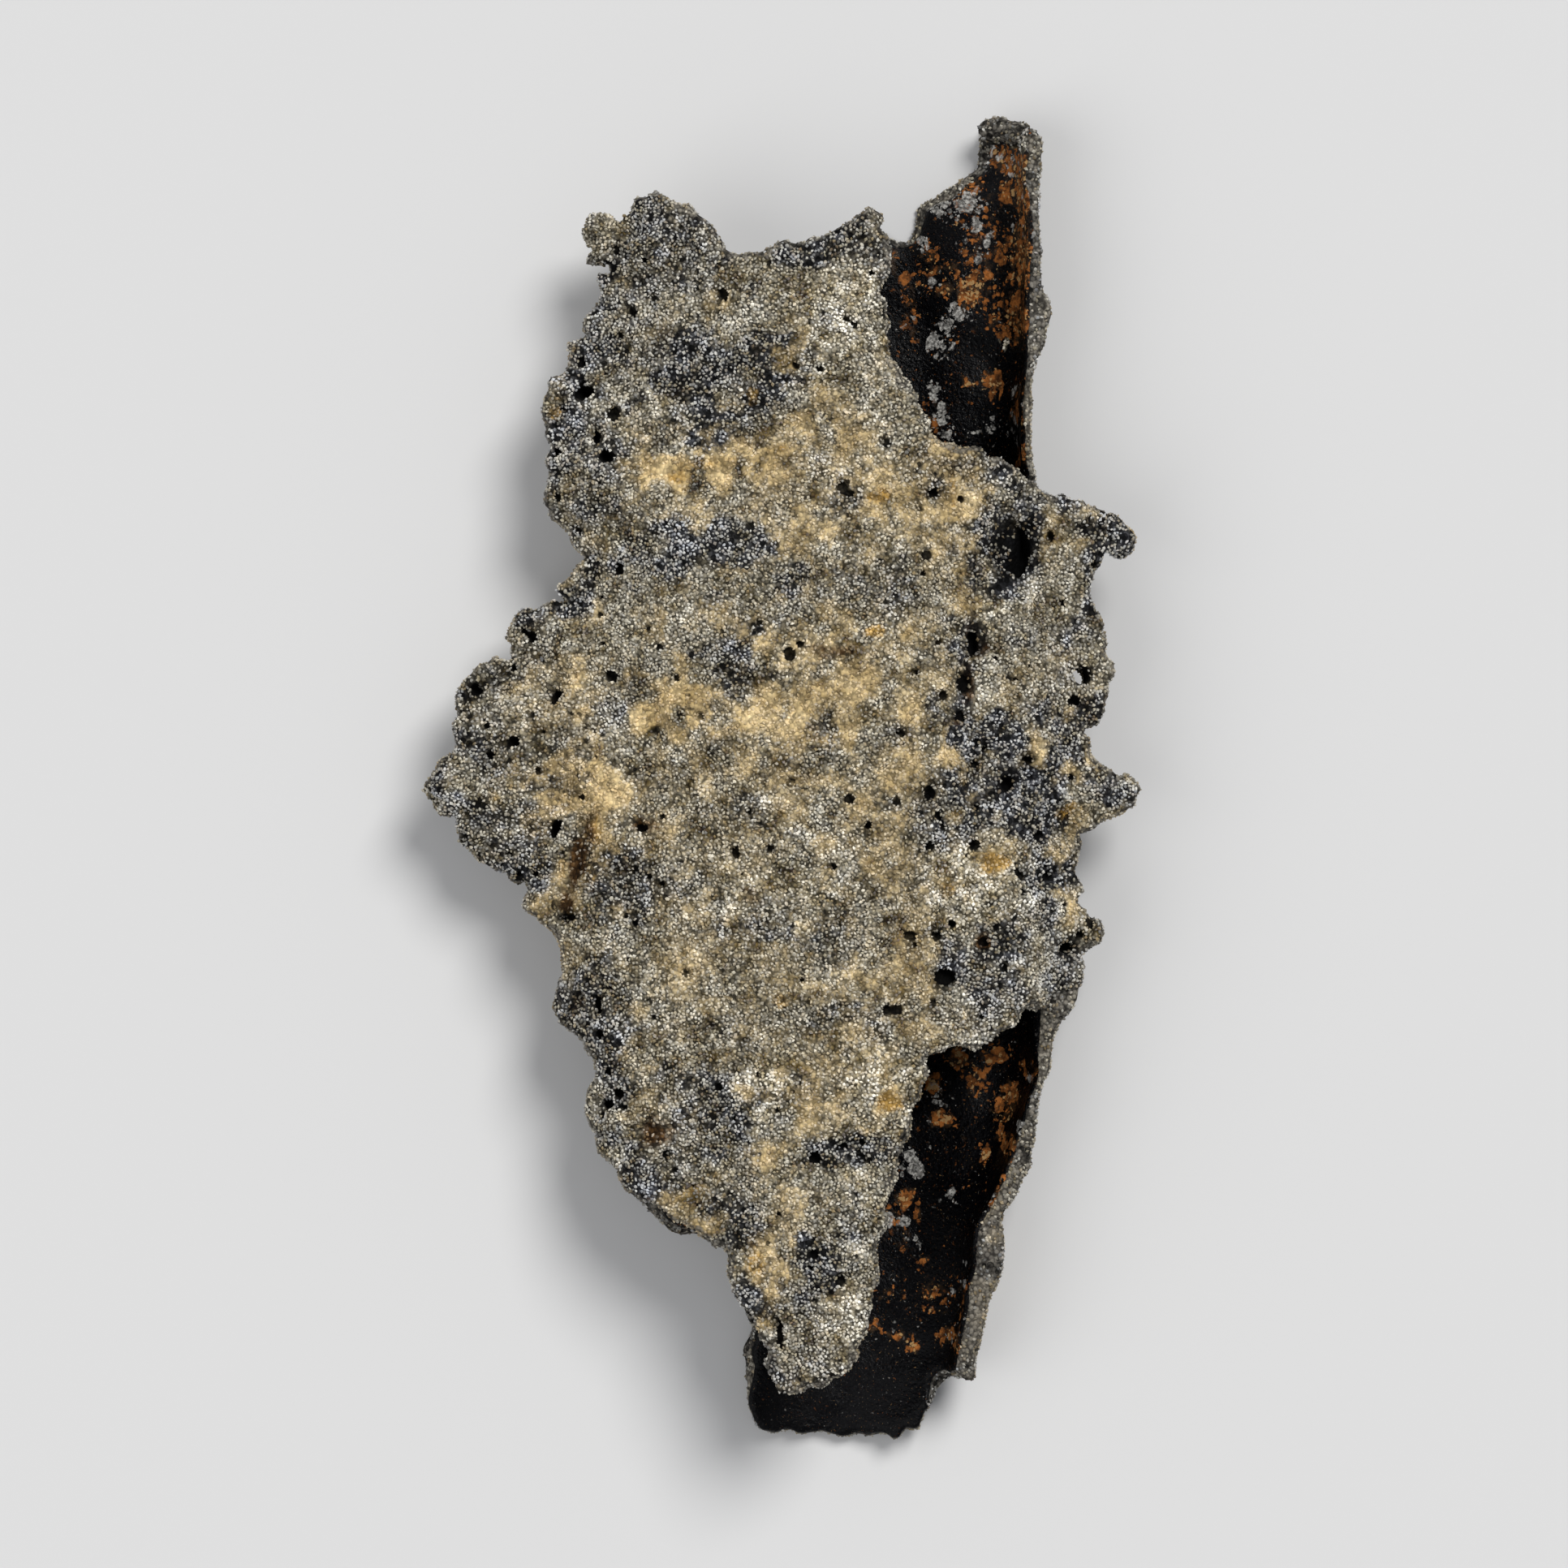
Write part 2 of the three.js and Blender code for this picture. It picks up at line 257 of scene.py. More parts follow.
# Holes that burst right through the wings, on the plan: x, y, half width, half length, turn
BURST_HOLES = [
    (713, 485, 16, 9, -4), (676, 861, 10, 10, 0), (626, 915, 10, 8, 0), (675, 1021, 16, 10, -40),
    (1351, 832, 14, 11, 20), (741, 1241, 7, 13, 0), (677, 559, 8, 8, 0),
]
# Pits in the front, on the plan: x, y, half width, half length, depth in millimetres
PITS = [
    (1253, 680, 18, 34, 1.2), (751, 330, 13, 9, 0.9), (796, 322, 6, 6, 0.6), (767, 414, 5, 8, 0.6),
    (737, 539, 6, 9, 0.8), (749, 563, 9, 9, 1.0), (743, 272, 7, 6, 0.35), (747, 460, 5, 5, 0.4),
    (883, 499, 7, 4, 0.4), (847, 460, 5, 4, 0.3), (1049, 611, 6, 6, 0.7), (1075, 340, 5, 5, 0.5),
    (1150, 609, 7, 7, 0.6), (1296, 660, 6, 9, 0.6), (1361, 640, 8, 13, 0.6), (1394, 683, 6, 6, 0.4),
    (1348, 696, 5, 5, 0.3), (1236, 600, 8, 5, 0.4), (1198, 794, 7, 19, 0.9), (1187, 843, 10, 11, 0.6),
    (1163, 858, 7, 7, 0.4), (1184, 884, 9, 8, 0.5), (1137, 708, 5, 5, 0.4), (1363, 782, 6, 7, 0.5),
    (588, 850, 9, 8, 0.6), (657, 785, 8, 8, 0.7), (646, 776, 6, 5, 0.5), (668, 812, 6, 6, 0.6),
    (634, 824, 6, 6, 0.6), (751, 710, 5, 5, 0.5), (769, 701, 4, 4, 0.4), (601, 894, 5, 5, 0.4),
    (606, 931, 7, 6, 0.5), (671, 902, 5, 5, 0.4), (819, 1007, 6, 5, 0.35), (793, 1020, 9, 6, 0.4),
    (572, 1033, 8, 8, 0.6), (628, 1052, 7, 6, 0.5), (641, 1078, 6, 6, 0.6), (707, 1130, 7, 5, 0.5),
    (698, 1132, 5, 5, 0.4), (705, 1206, 6, 7, 0.5), (741, 1275, 6, 8, 0.6), (715, 1276, 8, 6, 0.5),
    (808, 1252, 5, 5, 0.4), (751, 1321, 6, 7, 0.5), (766, 1346, 8, 7, 0.6), (752, 1360, 6, 8, 0.6),
    (772, 1363, 7, 5, 0.5), (744, 1374, 5, 5, 0.4), (822, 1422, 6, 9, 0.5), (833, 1440, 6, 5, 0.4),
    (1006, 1424, 9, 9, 0.6), (1040, 1410, 8, 6, 0.5), (1058, 1420, 9, 5, 0.5), (1064, 1405, 6, 5, 0.4),
    (1001, 1560, 5, 5, 0.5), (963, 1641, 5, 20, 0.6), (1004, 1598, 5, 4, 0.4), (1242, 966, 10, 10, 0.9),
    (1268, 936, 8, 6, 0.6), (1204, 912, 5, 9, 0.4), (1213, 922, 5, 5, 0.4), (1123, 1152, 9, 7, 0.6),
    (1112, 1145, 4, 4, 0.4), (1128, 1164, 5, 4, 0.5), (1154, 1152, 6, 7, 0.7), (1173, 1138, 6, 6, 0.6),
    (1212, 1160, 7, 7, 0.5), (1315, 1168, 10, 8, 0.8), (1238, 1193, 5, 7, 0.5),
    (1345, 1134, 6, 13, 0.5), (1321, 957, 6, 6, 0.4), (1157, 1006, 6, 6, 0.4), (1163, 1018, 6, 6, 0.4),
    (1289, 1080, 8, 8, 0.4), (1165, 1203, 15, 11, 0.9), (1071, 1017, 6, 6, 0.6),
    (1028, 1067, 5, 6, 0.5), (909, 1050, 6, 9, 0.5), (925, 1000, 5, 5, 0.3), (990, 1206, 6, 5, 0.4),
    (1110, 905, 8, 6, 0.3), (987, 795, 7, 5, 0.3), (1040, 815, 8, 5, 0.3), (975, 965, 8, 5, 0.25),
    (1035, 1138, 6, 7, 0.4), (1050, 1252, 7, 4, 0.3), (1068, 1251, 5, 4, 0.3), (906, 1376, 5, 5, 0.35),
    (958, 1366, 4, 5, 0.35), (925, 1461, 5, 4, 0.3), (800, 775, 5, 5, 0.3), (744, 736, 5, 4, 0.4),
    (747, 793, 4, 5, 0.4), (695, 503, 5, 4, 0.3), (774, 475, 4, 4, 0.4), (788, 474, 4, 4, 0.4),
    (707, 596, 5, 4, 0.35), (740, 596, 4, 4, 0.35), (1252, 837, 5, 4, 0.4), (1270, 820, 4, 5, 0.35),
    (1157, 793, 5, 5, 0.3), (1203, 995, 5, 5, 0.4), (1288, 1067, 4, 4, 0.4), (1295, 1198, 5, 4, 0.4),
    (803, 1080, 5, 5, 0.5), (818, 1088, 5, 4, 0.5), (774, 1129, 6, 5, 0.5), (785, 1136, 5, 6, 0.5),
    (784, 1075, 4, 3, 0.4), (838, 1121, 5, 4, 0.35), (732, 1135, 4, 3, 0.35),
]
# Wide shallow hollows in the front, in the same order
HOLLOWS = [
    (1241, 682, 36, 52, 0.95), (860, 1422, 42, 20, 0.25), (1048, 1414, 34, 22, 0.35),
    (775, 1085, 32, 32, 0.25), (1035, 1140, 20, 20, 0.25), (985, 720, 18, 18, 0.25),
    (1010, 803, 45, 14, 0.25), (975, 965, 22, 14, 0.2), (673, 908, 14, 12, 0.3),
    (762, 1356, 26, 24, 0.35), (824, 1430, 14, 24, 0.35), (1170, 1210, 26, 22, 0.35),
    (1212, 590, 24, 12, 0.2), (880, 386, 12, 10, 0.2), (930, 1115, 14, 12, 0.2),
    (895, 830, 40, 40, 0.2), (1105, 905, 20, 18, 0.2), (1190, 845, 18, 50, 0.3),
    (870, 675, 60, 22, 0.2), (870, 480, 60, 45, 0.2), (1290, 1078, 22, 22, 0.25),
]
# Rounded lumps on the ends of the spikes: x and y on the plan, height and radius in millimetres
NODULES = [
    (739, 280, 4.3, 0.75), (1384, 668, 4.3, 0.7), (1372, 650, 4.3, 0.6), (1392, 975, 4.3, 0.5),
    (1352, 706, 4.3, 0.4), (1366, 826, 4.3, 0.4), (1352, 1152, 4.3, 0.4), (545, 968, 4.3, 0.5),
    (566, 862, 4.3, 0.5), (1360, 780, 4.3, 0.35),
]
# And lumps of crust on the upper end of the back wall, in the same order, with how dark they are
TIP_LUMPS = [
    (1221, 155, 1.6, 0.46, 0.0), (1236, 153, 1.8, 0.5, 0.5), (1254, 159, 2.3, 0.5, 1.0),
    (1272, 173, 3.2, 0.44, 0.1),
]
# Where the front is darker with painted shade: in its hollows, under the front wall's edges
# and down the lower window's rim; on the plan: x, y, half width, half length, strength
PAINTED_SHADE = [
    (1249, 678, 26, 44, 1.0), (1203, 788, 10, 24, 1.0), (1189, 843, 12, 14, 0.9),
    (1241, 965, 14, 15, 1.0), (1165, 1203, 17, 15, 0.9), (1315, 1168, 14, 12, 0.9),
    (588, 850, 14, 12, 0.8), (1181, 884, 14, 12, 0.8), (697, 1131, 10, 9, 0.8), (1267, 936, 10, 9, 0.8),
    (751, 330, 14, 11, 0.8), (1049, 611, 9, 9, 0.7), (930, 497, 10, 14, 0.5), (780, 1345, 14, 12, 0.5),
    (860, 695, 30, 8, 0.5), (1112, 1010, 42, 170, 0.33), (640, 905, 70, 90, 0.24),
    (1215, 930, 40, 30, 0.2), (1252, 1452, 18, 30, 0.5), (1236, 1505, 18, 30, 0.6),
    (1221, 1555, 18, 30, 0.6), (1207, 1603, 18, 30, 0.6), (1196, 1652, 18, 36, 0.6),
    (1158, 1712, 26, 28, 0.8), (1272, 1400, 12, 30, 0.3), (935, 1690, 14, 60, 0.4),
]
# A crack stained brown, on the plan
CRACK = [(733, 1005), (722, 1022), (715, 1042), (708, 1076), (700, 1110), (697, 1132)]
CRACK_WIDTH = 0.25
CRACK_DEPTH = 0.5

# Where the front's sand is coloured, on the plan: x, y, half width, half length, strength
SLATE = [
    (1265, 985, 60, 45, 1.0), (1235, 935, 45, 55, 0.9), (1225, 1195, 60, 60, 0.7),
    (640, 820, 50, 40, 0.5), (1300, 870, 50, 50, 0.3), (1340, 790, 40, 60, 0.4),
    (1385, 665, 30, 40, 0.9), (1250, 640, 60, 60, 0.6), (620, 930, 60, 50, 0.5),
    (790, 345, 80, 50, 0.6), (1040, 300, 60, 25, 0.6), (1005, 1650, 40, 50, 0.45),
    (760, 330, 40, 30, 0.6), (790, 400, 50, 25, 0.6), (880, 466, 88, 60, 1.0), (850, 440, 100, 50, 0.6),
    (815, 440, 40, 30, 0.6), (740, 560, 25, 35, 0.7), (735, 620, 40, 30, 0.6), (870, 675, 70, 28, 0.9),
    (810, 700, 45, 22, 0.7), (980, 720, 22, 20, 0.8), (905, 820, 35, 45, 0.8), (650, 770, 30, 30, 0.7),
    (680, 860, 14, 14, 0.5), (575, 840, 25, 25, 0.5), (590, 1000, 45, 25, 0.6),
    (630, 1045, 40, 20, 0.6), (985, 955, 30, 18, 0.5), (775, 1090, 50, 45, 0.7),
    (950, 1150, 50, 40, 0.6), (1030, 1140, 25, 40, 0.6), (740, 1240, 35, 35, 0.6),
    (880, 1370, 60, 50, 0.75), (1040, 1415, 50, 22, 0.9), (765, 1350, 28, 25, 0.7),
    (1010, 1560, 35, 45, 0.9), (985, 1620, 35, 50, 0.5), (1210, 910, 32, 35, 1.0),
    (1240, 960, 40, 35, 1.0), (1250, 1000, 60, 35, 1.0), (1285, 1080, 28, 25, 1.0),
    (1195, 1190, 40, 50, 0.8), (1215, 1240, 35, 30, 0.6), (1370, 980, 45, 25, 0.7),
    (1160, 1000, 35, 55, 0.6), (1190, 780, 20, 40, 0.7), (1180, 870, 25, 25, 0.7),
    (1240, 680, 45, 55, 0.9), (1310, 790, 40, 30, 0.25), (1330, 830, 25, 20, 0.6),
    (1300, 885, 40, 20, 0.6), (1330, 1180, 30, 35, 0.6), (1090, 720, 35, 40, 0.5),
    (1110, 910, 25, 20, 0.5), (1045, 615, 30, 20, 0.6), (1150, 600, 25, 20, 0.4),
    (1210, 590, 30, 20, 0.4), (1380, 660, 20, 25, 0.5), (860, 330, 35, 25, 0.5),
    (1050, 290, 30, 20, 0.5), (1040, 1255, 40, 25, 0.5),
]
CREAM = [
    (1040, 390, 55, 70, 0.8), (1000, 370, 40, 30, 0.5), (985, 1345, 70, 32, 0.9),
    (1060, 430, 40, 50, 0.8), (1060, 520, 60, 30, 0.6), (1010, 590, 35, 35, 0.6),
    (1225, 740, 30, 40, 0.9), (1188, 1062, 52, 42, 1.5), (1262, 1048, 40, 28, 1.2),
    (1060, 1330, 60, 35, 0.9), (1040, 1600, 25, 60, 0.7), (990, 1680, 50, 25, 0.8),
    (1010, 1640, 40, 50, 0.6), (1060, 1500, 16, 90, 0.7), (1030, 1060, 70, 50, 0.5),
    (940, 1080, 50, 50, 0.5), (640, 885, 40, 20, 0.6), (1300, 830, 40, 40, 0.4),
    (1230, 590, 50, 20, 0.5), (820, 265, 60, 20, 0.4), (1260, 1130, 50, 40, 0.5),
    (1210, 1260, 50, 25, 0.5), (770, 1270, 40, 30, 0.4), (860, 1250, 70, 30, 0.4),
]
TAN = [
    (870, 577, 70, 25, 1.0), (790, 540, 25, 25, 0.5), (830, 860, 65, 40, 1.0), (990, 880, 80, 60, 0.8),
    (970, 920, 50, 40, 0.7), (1040, 780, 60, 30, 0.6), (980, 660, 50, 30, 0.6),
    (1040, 520, 45, 35, 0.7), (1085, 610, 30, 30, 0.7), (1180, 600, 30, 60, 0.8),
    (970, 450, 30, 25, 0.6), (880, 365, 20, 20, 0.7), (1130, 950, 50, 60, 0.8),
    (1110, 1060, 50, 70, 0.6), (1100, 1200, 50, 80, 0.6), (1110, 860, 50, 60, 0.5),
    (715, 975, 60, 35, 1.0), (690, 820, 60, 40, 0.4), (705, 770, 40, 40, 0.4), (800, 960, 80, 15, 0.4),
    (1290, 945, 30, 45, 0.9), (1320, 1070, 20, 70, 0.8), (1225, 1060, 16, 14, 0.6),
    (985, 1350, 45, 25, 0.8), (1097, 1362, 22, 22, 1.0), (945, 1418, 20, 15, 0.8),
    (940, 1560, 25, 60, 0.8), (950, 1500, 40, 40, 0.5), (820, 1480, 70, 20, 0.6),
    (1310, 640, 40, 25, 0.6), (880, 1240, 80, 20, 0.4), (845, 1170, 50, 50, 0.3),
    (1180, 690, 30, 60, 0.5), (820, 640, 60, 20, 0.4), (735, 680, 30, 20, 0.4),
    (1080, 460, 30, 40, 0.4), (930, 1220, 60, 20, 0.4), (870, 1490, 60, 18, 0.5),
    (960, 860, 150, 110, 0.45), (880, 1010, 130, 150, 0.35), (1110, 1010, 60, 230, 0.5),
    (960, 560, 140, 60, 0.45), (900, 1190, 140, 90, 0.35), (1040, 1280, 110, 90, 0.4),
    (1090, 700, 60, 100, 0.4), (842, 580, 36, 18, 1.4), (890, 572, 36, 17, 1.5),
    (938, 563, 34, 13, 1.2), (985, 556, 24, 12, 0.7), (738, 1030, 26, 34, 0.8),
    (690, 1090, 26, 40, 0.6), (835, 866, 50, 30, 1.5), (800, 1462, 40, 12, 0.8),
    (868, 1512, 30, 14, 0.8), (922, 1590, 16, 40, 0.8), (700, 975, 40, 26, 0.5),
    (985, 1358, 44, 16, 0.8), (1222, 1590, 20, 120, 0.7),
]
OCHRE = [
    (684, 506, 12, 10, 0.6), (834, 590, 12, 8, 0.7), (965, 556, 10, 8, 0.8), (1084, 614, 12, 8, 0.9),
    (1077, 780, 10, 8, 0.8), (1174, 600, 8, 30, 0.7), (1318, 1000, 14, 10, 0.9),
    (1222, 1062, 18, 14, 0.9), (1169, 1095, 12, 10, 0.7), (963, 1232, 10, 8, 0.7),
    (1097, 1359, 18, 16, 1.0), (949, 1418, 12, 9, 0.7), (935, 1550, 14, 28, 0.6),
    (1165, 1070, 10, 8, 0.6), (860, 575, 24, 10, 0.5), (840, 862, 40, 14, 0.4), (930, 490, 5, 10, 0.8),
    (1000, 905, 24, 12, 0.4), (715, 985, 24, 16, 0.4), (735, 1028, 14, 28, 0.7),
    (722, 1075, 14, 24, 0.5), (694, 1080, 8, 26, 0.5), (890, 571, 26, 8, 0.5),
]
BROWN = [
    (726, 1022, 10, 20, 0.7), (716, 1052, 10, 26, 1.0), (708, 1082, 9, 24, 1.0),
    (701, 1116, 9, 24, 0.9), (805, 1393, 20, 24, 0.9), (1030, 803, 42, 10, 0.7),
    (800, 1015, 22, 12, 0.7), (1190, 840, 14, 22, 0.8), (1214, 1160, 12, 10, 0.9),
    (1205, 800, 12, 12, 0.7), (925, 1105, 14, 10, 0.6), (1180, 886, 10, 10, 0.7),
    (1292, 738, 10, 8, 0.5), (1198, 780, 8, 24, 0.5), (820, 1480, 50, 8, 0.4),
]
# Rust and white bloom on the black glass of the bore
RUST = [
    (1195, 355, 16, 20, 1.0), (1168, 355, 12, 10, 0.8), (1174, 328, 10, 8, 0.7),
    (1195, 463, 18, 12, 1.3), (1229, 460, 12, 12, 1.1), (1201, 494, 8, 8, 0.7),
    (1102, 313, 14, 22, 0.6), (1249, 334, 14, 10, 0.7), (1243, 313, 10, 8, 0.6),
    (1265, 300, 20, 95, 0.7), (1250, 200, 25, 50, 0.7), (1220, 300, 30, 60, 0.5),
    (1235, 380, 30, 40, 0.5), (1130, 340, 20, 50, 0.45), (1200, 250, 30, 25, 0.5),
    (1255, 400, 15, 30, 0.6), (1270, 500, 10, 60, 0.5), (1262, 560, 10, 20, 0.6),
    (1125, 400, 10, 30, 0.5), (1152, 1337, 9, 12, 1.3), (1169, 1382, 11, 13, 1.4),
    (1158, 1301, 8, 8, 1.2), (1183, 1304, 9, 8, 1.2), (1226, 1299, 22, 12, 0.7),
    (1235, 1394, 9, 13, 0.9), (1216, 1424, 9, 13, 1.1), (1270, 1320, 8, 20, 0.5),
    (1250, 1412, 12, 22, 0.6), (1200, 1332, 6, 6, 0.9), (1208, 1352, 5, 6, 0.8),
    (1190, 1346, 5, 5, 0.8), (1219, 1368, 10, 9, 1.0), (1216, 1342, 6, 9, 0.9),
    (1250, 1352, 12, 14, 0.9), (1124, 1481, 9, 8, 1.1), (1134, 1499, 8, 7, 1.1),
    (1142, 1559, 8, 10, 0.8), (1168, 1538, 8, 8, 0.7), (1152, 1617, 10, 10, 0.8),
    (1096, 1600, 12, 10, 0.6), (1082, 1643, 14, 10, 0.8), (1105, 1655, 15, 12, 0.7),
    (1126, 1665, 11, 8, 0.8), (1172, 1652, 12, 12, 0.7), (1186, 1666, 10, 8, 0.7),
    (1110, 1540, 12, 12, 0.5),
]
BLOOM = [
    (1165, 424, 18, 22, 1.0), (1160, 523, 15, 20, 0.75), (1153, 484, 10, 12, 0.8),
    (1138, 301, 8, 8, 0.8), (1180, 382, 14, 14, 1.1), (1156, 343, 10, 10, 0.6),
    (1219, 180, 14, 34, 0.9), (1165, 245, 34, 18, 0.8), (1215, 290, 12, 10, 0.6),
    (1260, 165, 14, 20, 0.6), (1190, 300, 14, 14, 0.5), (1140, 290, 10, 14, 0.7),
    (1128, 1438, 12, 16, 1.0), (1104, 1507, 16, 10, 0.8), (1146, 1390, 6, 8, 0.7),
    (1135, 1535, 6, 8, 0.6), (965, 1725, 7, 6, 0.5), (1174, 405, 14, 20, 1.0), (1262, 1393, 7, 7, 0.9),
    (1271, 1331, 6, 5, 0.9), (1142, 1419, 6, 5, 0.9),
]

# The valley between the main sheet and the lower lobe on its right, on the plan
VALLEY = [
    (1148, 560), (1152, 640), (1165, 720), (1183, 800), (1178, 870), (1196, 930), (1165, 1000),
    (1140, 1080), (1150, 1150), (1172, 1200), (1182, 1260), (1172, 1292),
]
VALLEY_WIDTH = 0.9
VALLEY_FAR_SIDE = 2.2  # how many times wider it is on the lobe's side
VALLEY_DEPTH = 0.45
VALLEY_BEYOND = (1.5, 1.0)  # how far it runs on below and above the line
VALLEY_FADE = 2.0
LOBE_DROP = 0.55  # how much lower the lobe is than the sheet
LOBE_BAND = (-0.3, 0.8)
HOLLOW_FALL = 1.4

# Knobs under the back, which carry the wing: x, y, half width, half length
KNOBS = [(-6.6, 7.6, 1.7, 3.2), (-7.8, 1.4, 1.8, 4.4), (-7.2, -7.0, 1.9, 4.6)]
KNOB_CENTRE = 2.2
KNOB_HEIGHT = 2.5

# ---------------------------------------------------------------- marks on the surface
# Where each of these starts and where it is full
FACING_UP = (-0.1, 0.3)
ABOVE_THE_BACK = (BROKEN_LEVEL - 3, BROKEN_LEVEL - 1)
ON_THE_RIM = (-0.2, -0.08)
INSIDE_THE_BORE = (0.32, 0.12)
UNDER_THE_SKIN = (-0.08, -0.22)
ROUND_A_LUMP = (0.35, 0.1)
DOWN_A_PIT = (0.05, 0.42)
NEAR_AN_EDGE = (-3.2, -0.6)
LOWER_END = (-23.5, -26.0)
IN_A_PATCH = (1.6, 0.4)
CLEAN_END = 0.85  # how much less rust and bloom there is at the lower end
PATCH_BORDERS = [(1.0, 0.9, 0), (0.6, 0.4, 1)]  # layers of lumps, with what is added to the seed
FINER = 0.4  # size and strength of the finer of two layers of lumps
PAINTED_SHADE_PATCHES = (PAINTED_SHADE, 0.35, 99)  # with how uneven their borders are, and a seed
SLATE_PATCHES = (SLATE, 0.5, 71)
# Slate is also strewn at random: in all, more near an edge, more out of sight
SLATE_STREWN = (0.4, 0.45, 0.5)
SLATE_CLOUDS = (1.5, 0.3, 0.8, 73)  # size, where they start and are full, seed
SLATE_EARLIER = 0.9  # and how much earlier they start near an edge
# The other colours of sand: patches and their borders, how much is strewn in front and out of
# sight, and its clouds
SAND_MARKS = {
    "cream": ((CREAM, 0.7, 75), 0.3, 0.8, (1.9, 0.4, 1.0, 77)),
    "tan": ((TAN, 0.7, 79), 0.3, 0.9, (2.4, 0.3, 1.0, 81)),
    "ochre": ((OCHRE, 0.3, 83), 0.0, 0.5, (1.1, 0.8, 1.3, 85)),
    "brown": ((BROWN, 0.3, 95), 0.0, 0.5, (1.4, 0.8, 1.4, 97)),
}
# What lies on the glass: patches and their borders, the least and the clouds' strength, the clouds
GLASS_MARKS = {
    "rust": ((RUST, 0.4, 87), 0.2, 0.36, (1.6, 0.1, 1.0, 89)),
    "bloom": ((BLOOM, 0.4, 91), 0.12, 0.35, (1.4, 0.2, 1.0, 93)),
}

# ---------------------------------------------------------------- colours and finishes
# The sand's colours on the crust and on its grains
CRUST_SAND = {
    "Plain": (106, 100, 85), "Slate": (46, 46, 47), "Cream": (138, 130, 111),
    "Tan": (174, 153, 111), "Ochre": (142, 112, 58), "Brown": (66, 46, 24),
}
GRAIN_SAND = {
    "Plain": (163, 156, 138), "Slate": (141, 141, 139), "Cream": (228, 220, 201),
    "Tan": (192, 168, 123), "Ochre": (166, 134, 76), "Brown": (96, 70, 40),
}
CRUST_MOTTLING = 0.5
GRAIN_MOTTLING = 0.8
# Each colour's patches: where they start and are full, their clouds' size and reach
CLOUDS = {
    "Cream": (0.15, 0.9, 0.9, 1.0), "Tan": (-0.05, 1.05, 1.7, 0.9), "Slate": (0.1, 0.85, 1.3, 0.8),
    "Ochre": (0.25, 0.95, 0.6, 0.6), "Brown": (0.2, 0.9, 0.5, 0.5),
}
CLOUD_DETAIL = (4.0, 0.7)  # and roughness, as in every noise below
CLOUD_FRINGE = (0.16, 0.3)  # size and reach
MOTTLES = [(1.6, 2.0, 2.0, 0.6), (0.6, 1.9, 1.0, 0.5), (0.24, 0.6, 1.0, 0.5)]  # with detail
MOTTLING_BY_COLOUR = (0.9, 1.0, 1.25)  # pale places are cooler, dark ones browner
MOTTLED_DARKEST = 0.18
DUST_MOTTLING = 0.6
RIM_BAND = (0.2, 0.8)
RIM_LIGHT = 0.6
# How light the crust is where the tip lumps are darkest, and where shade is painted in full
SHADE_AND_DARK_LIGHT = 0.1
FOAM_PLENTY = (0.0, 0.6)
FOAM_BIGGEST = 0.5
FOAM_EDGE = (-0.06, 0.08)
GRIT_PER_METRE = 5400.0
GRIT_GAP = (0.32, 0.72)
SPECK_PLENTY = (0.0, 0.6)
SPECK_BIGGEST = 0.75
SPECK_EDGE = (-0.12, 0.06)
SPECK_BENDS = (0.3, 2.0, 0.6)
SPECK_BENT = 0.4
QUARTZ_IOR = 1.46
CRUST_SPECULAR = 0.1
GRIT_LIGHT = (0.6, 1.5)
GAP_SHADE = (0.75, 0.3)  # on bare sand and on dust
# Painted shade inside the small burst bubbles: how light they are inside
BUBBLE_SHADE_LIGHT = 0.25
# Painted shade down pits and burst holes: where it starts and is full, and how light it leaves their
# bottoms
PIT_BAND = (0.05, 0.8)
PIT_SHADE_LIGHT = 0.07
BROKEN_SAND = (112, 107, 98)
BROKEN_SHARE = 0.7
# Specks on the glass: size and how plentiful
RUST_SPECKS = [(0.6, 0.85), (0.32, 0.9), (0.19, 1.0)]
GOLD_SPECKS = [(0.26, 0.5), (0.15, 0.6)]
BLOOM_SPECKS = [(0.5, 1.05), (0.28, 0.9), (0.16, 0.8)]
BLOOM_GAPS = (0.12, 2.0)
BLOOM_GAP_BAND = (0.35, 0.6, 0.25, 1.0)
HAZE = (0.5, 1.0, 3.0, 0.6)
HAZE_BAND = (0.45, 1.0)
BLACK_GLASS = (1, 1, 2)
HAZY_GLASS = (50, 36, 22)
RUST_CLOUDS = (0.35, 3.0, 0.65)
RUST_BAND = (0.3, 0.7)
RUST_COLOURS = ((48, 26, 10), (146, 88, 40))
GOLD_COLOUR = (150, 118, 76)
BLOOM_CLOUDS = (0.18, 3.0, 0.65)
BLOOM_BAND = (0.35, 0.65)
BLOOM_COLOURS = ((94, 92, 88), (172, 169, 162))
GLASS_BORDER = (0.22, 0.3, 3.0)
GLASS_BAND = (0.4, 0.6)
GLASS_RIPPLE = (0.16, 3.0, 0.6)
CRUST_ROUGHNESS = 0.85
GLASS_ROUGHNESS = (0.32, 0.75)  # clean and stained
BUBBLE_DEPTH = 1.5
BUMP_STRENGTH = 0.8
BUMP_HEIGHT = 0.08
GRAIN_ROUGHNESS = 0.55
GRAIN_SPECULAR = 0.35
DUSTY_SHARE = 0.55
GRAIN_TINT = (0.8, 1.2)

# ---------------------------------------------------------------- the studio
FLOOR_REACH = 0.6  # in metres, as all the places in this part are
FLOOR_COLOUR = (0.52, 0.515, 0.505, 1)
FLOOR_ROUGHNESS = 0.9
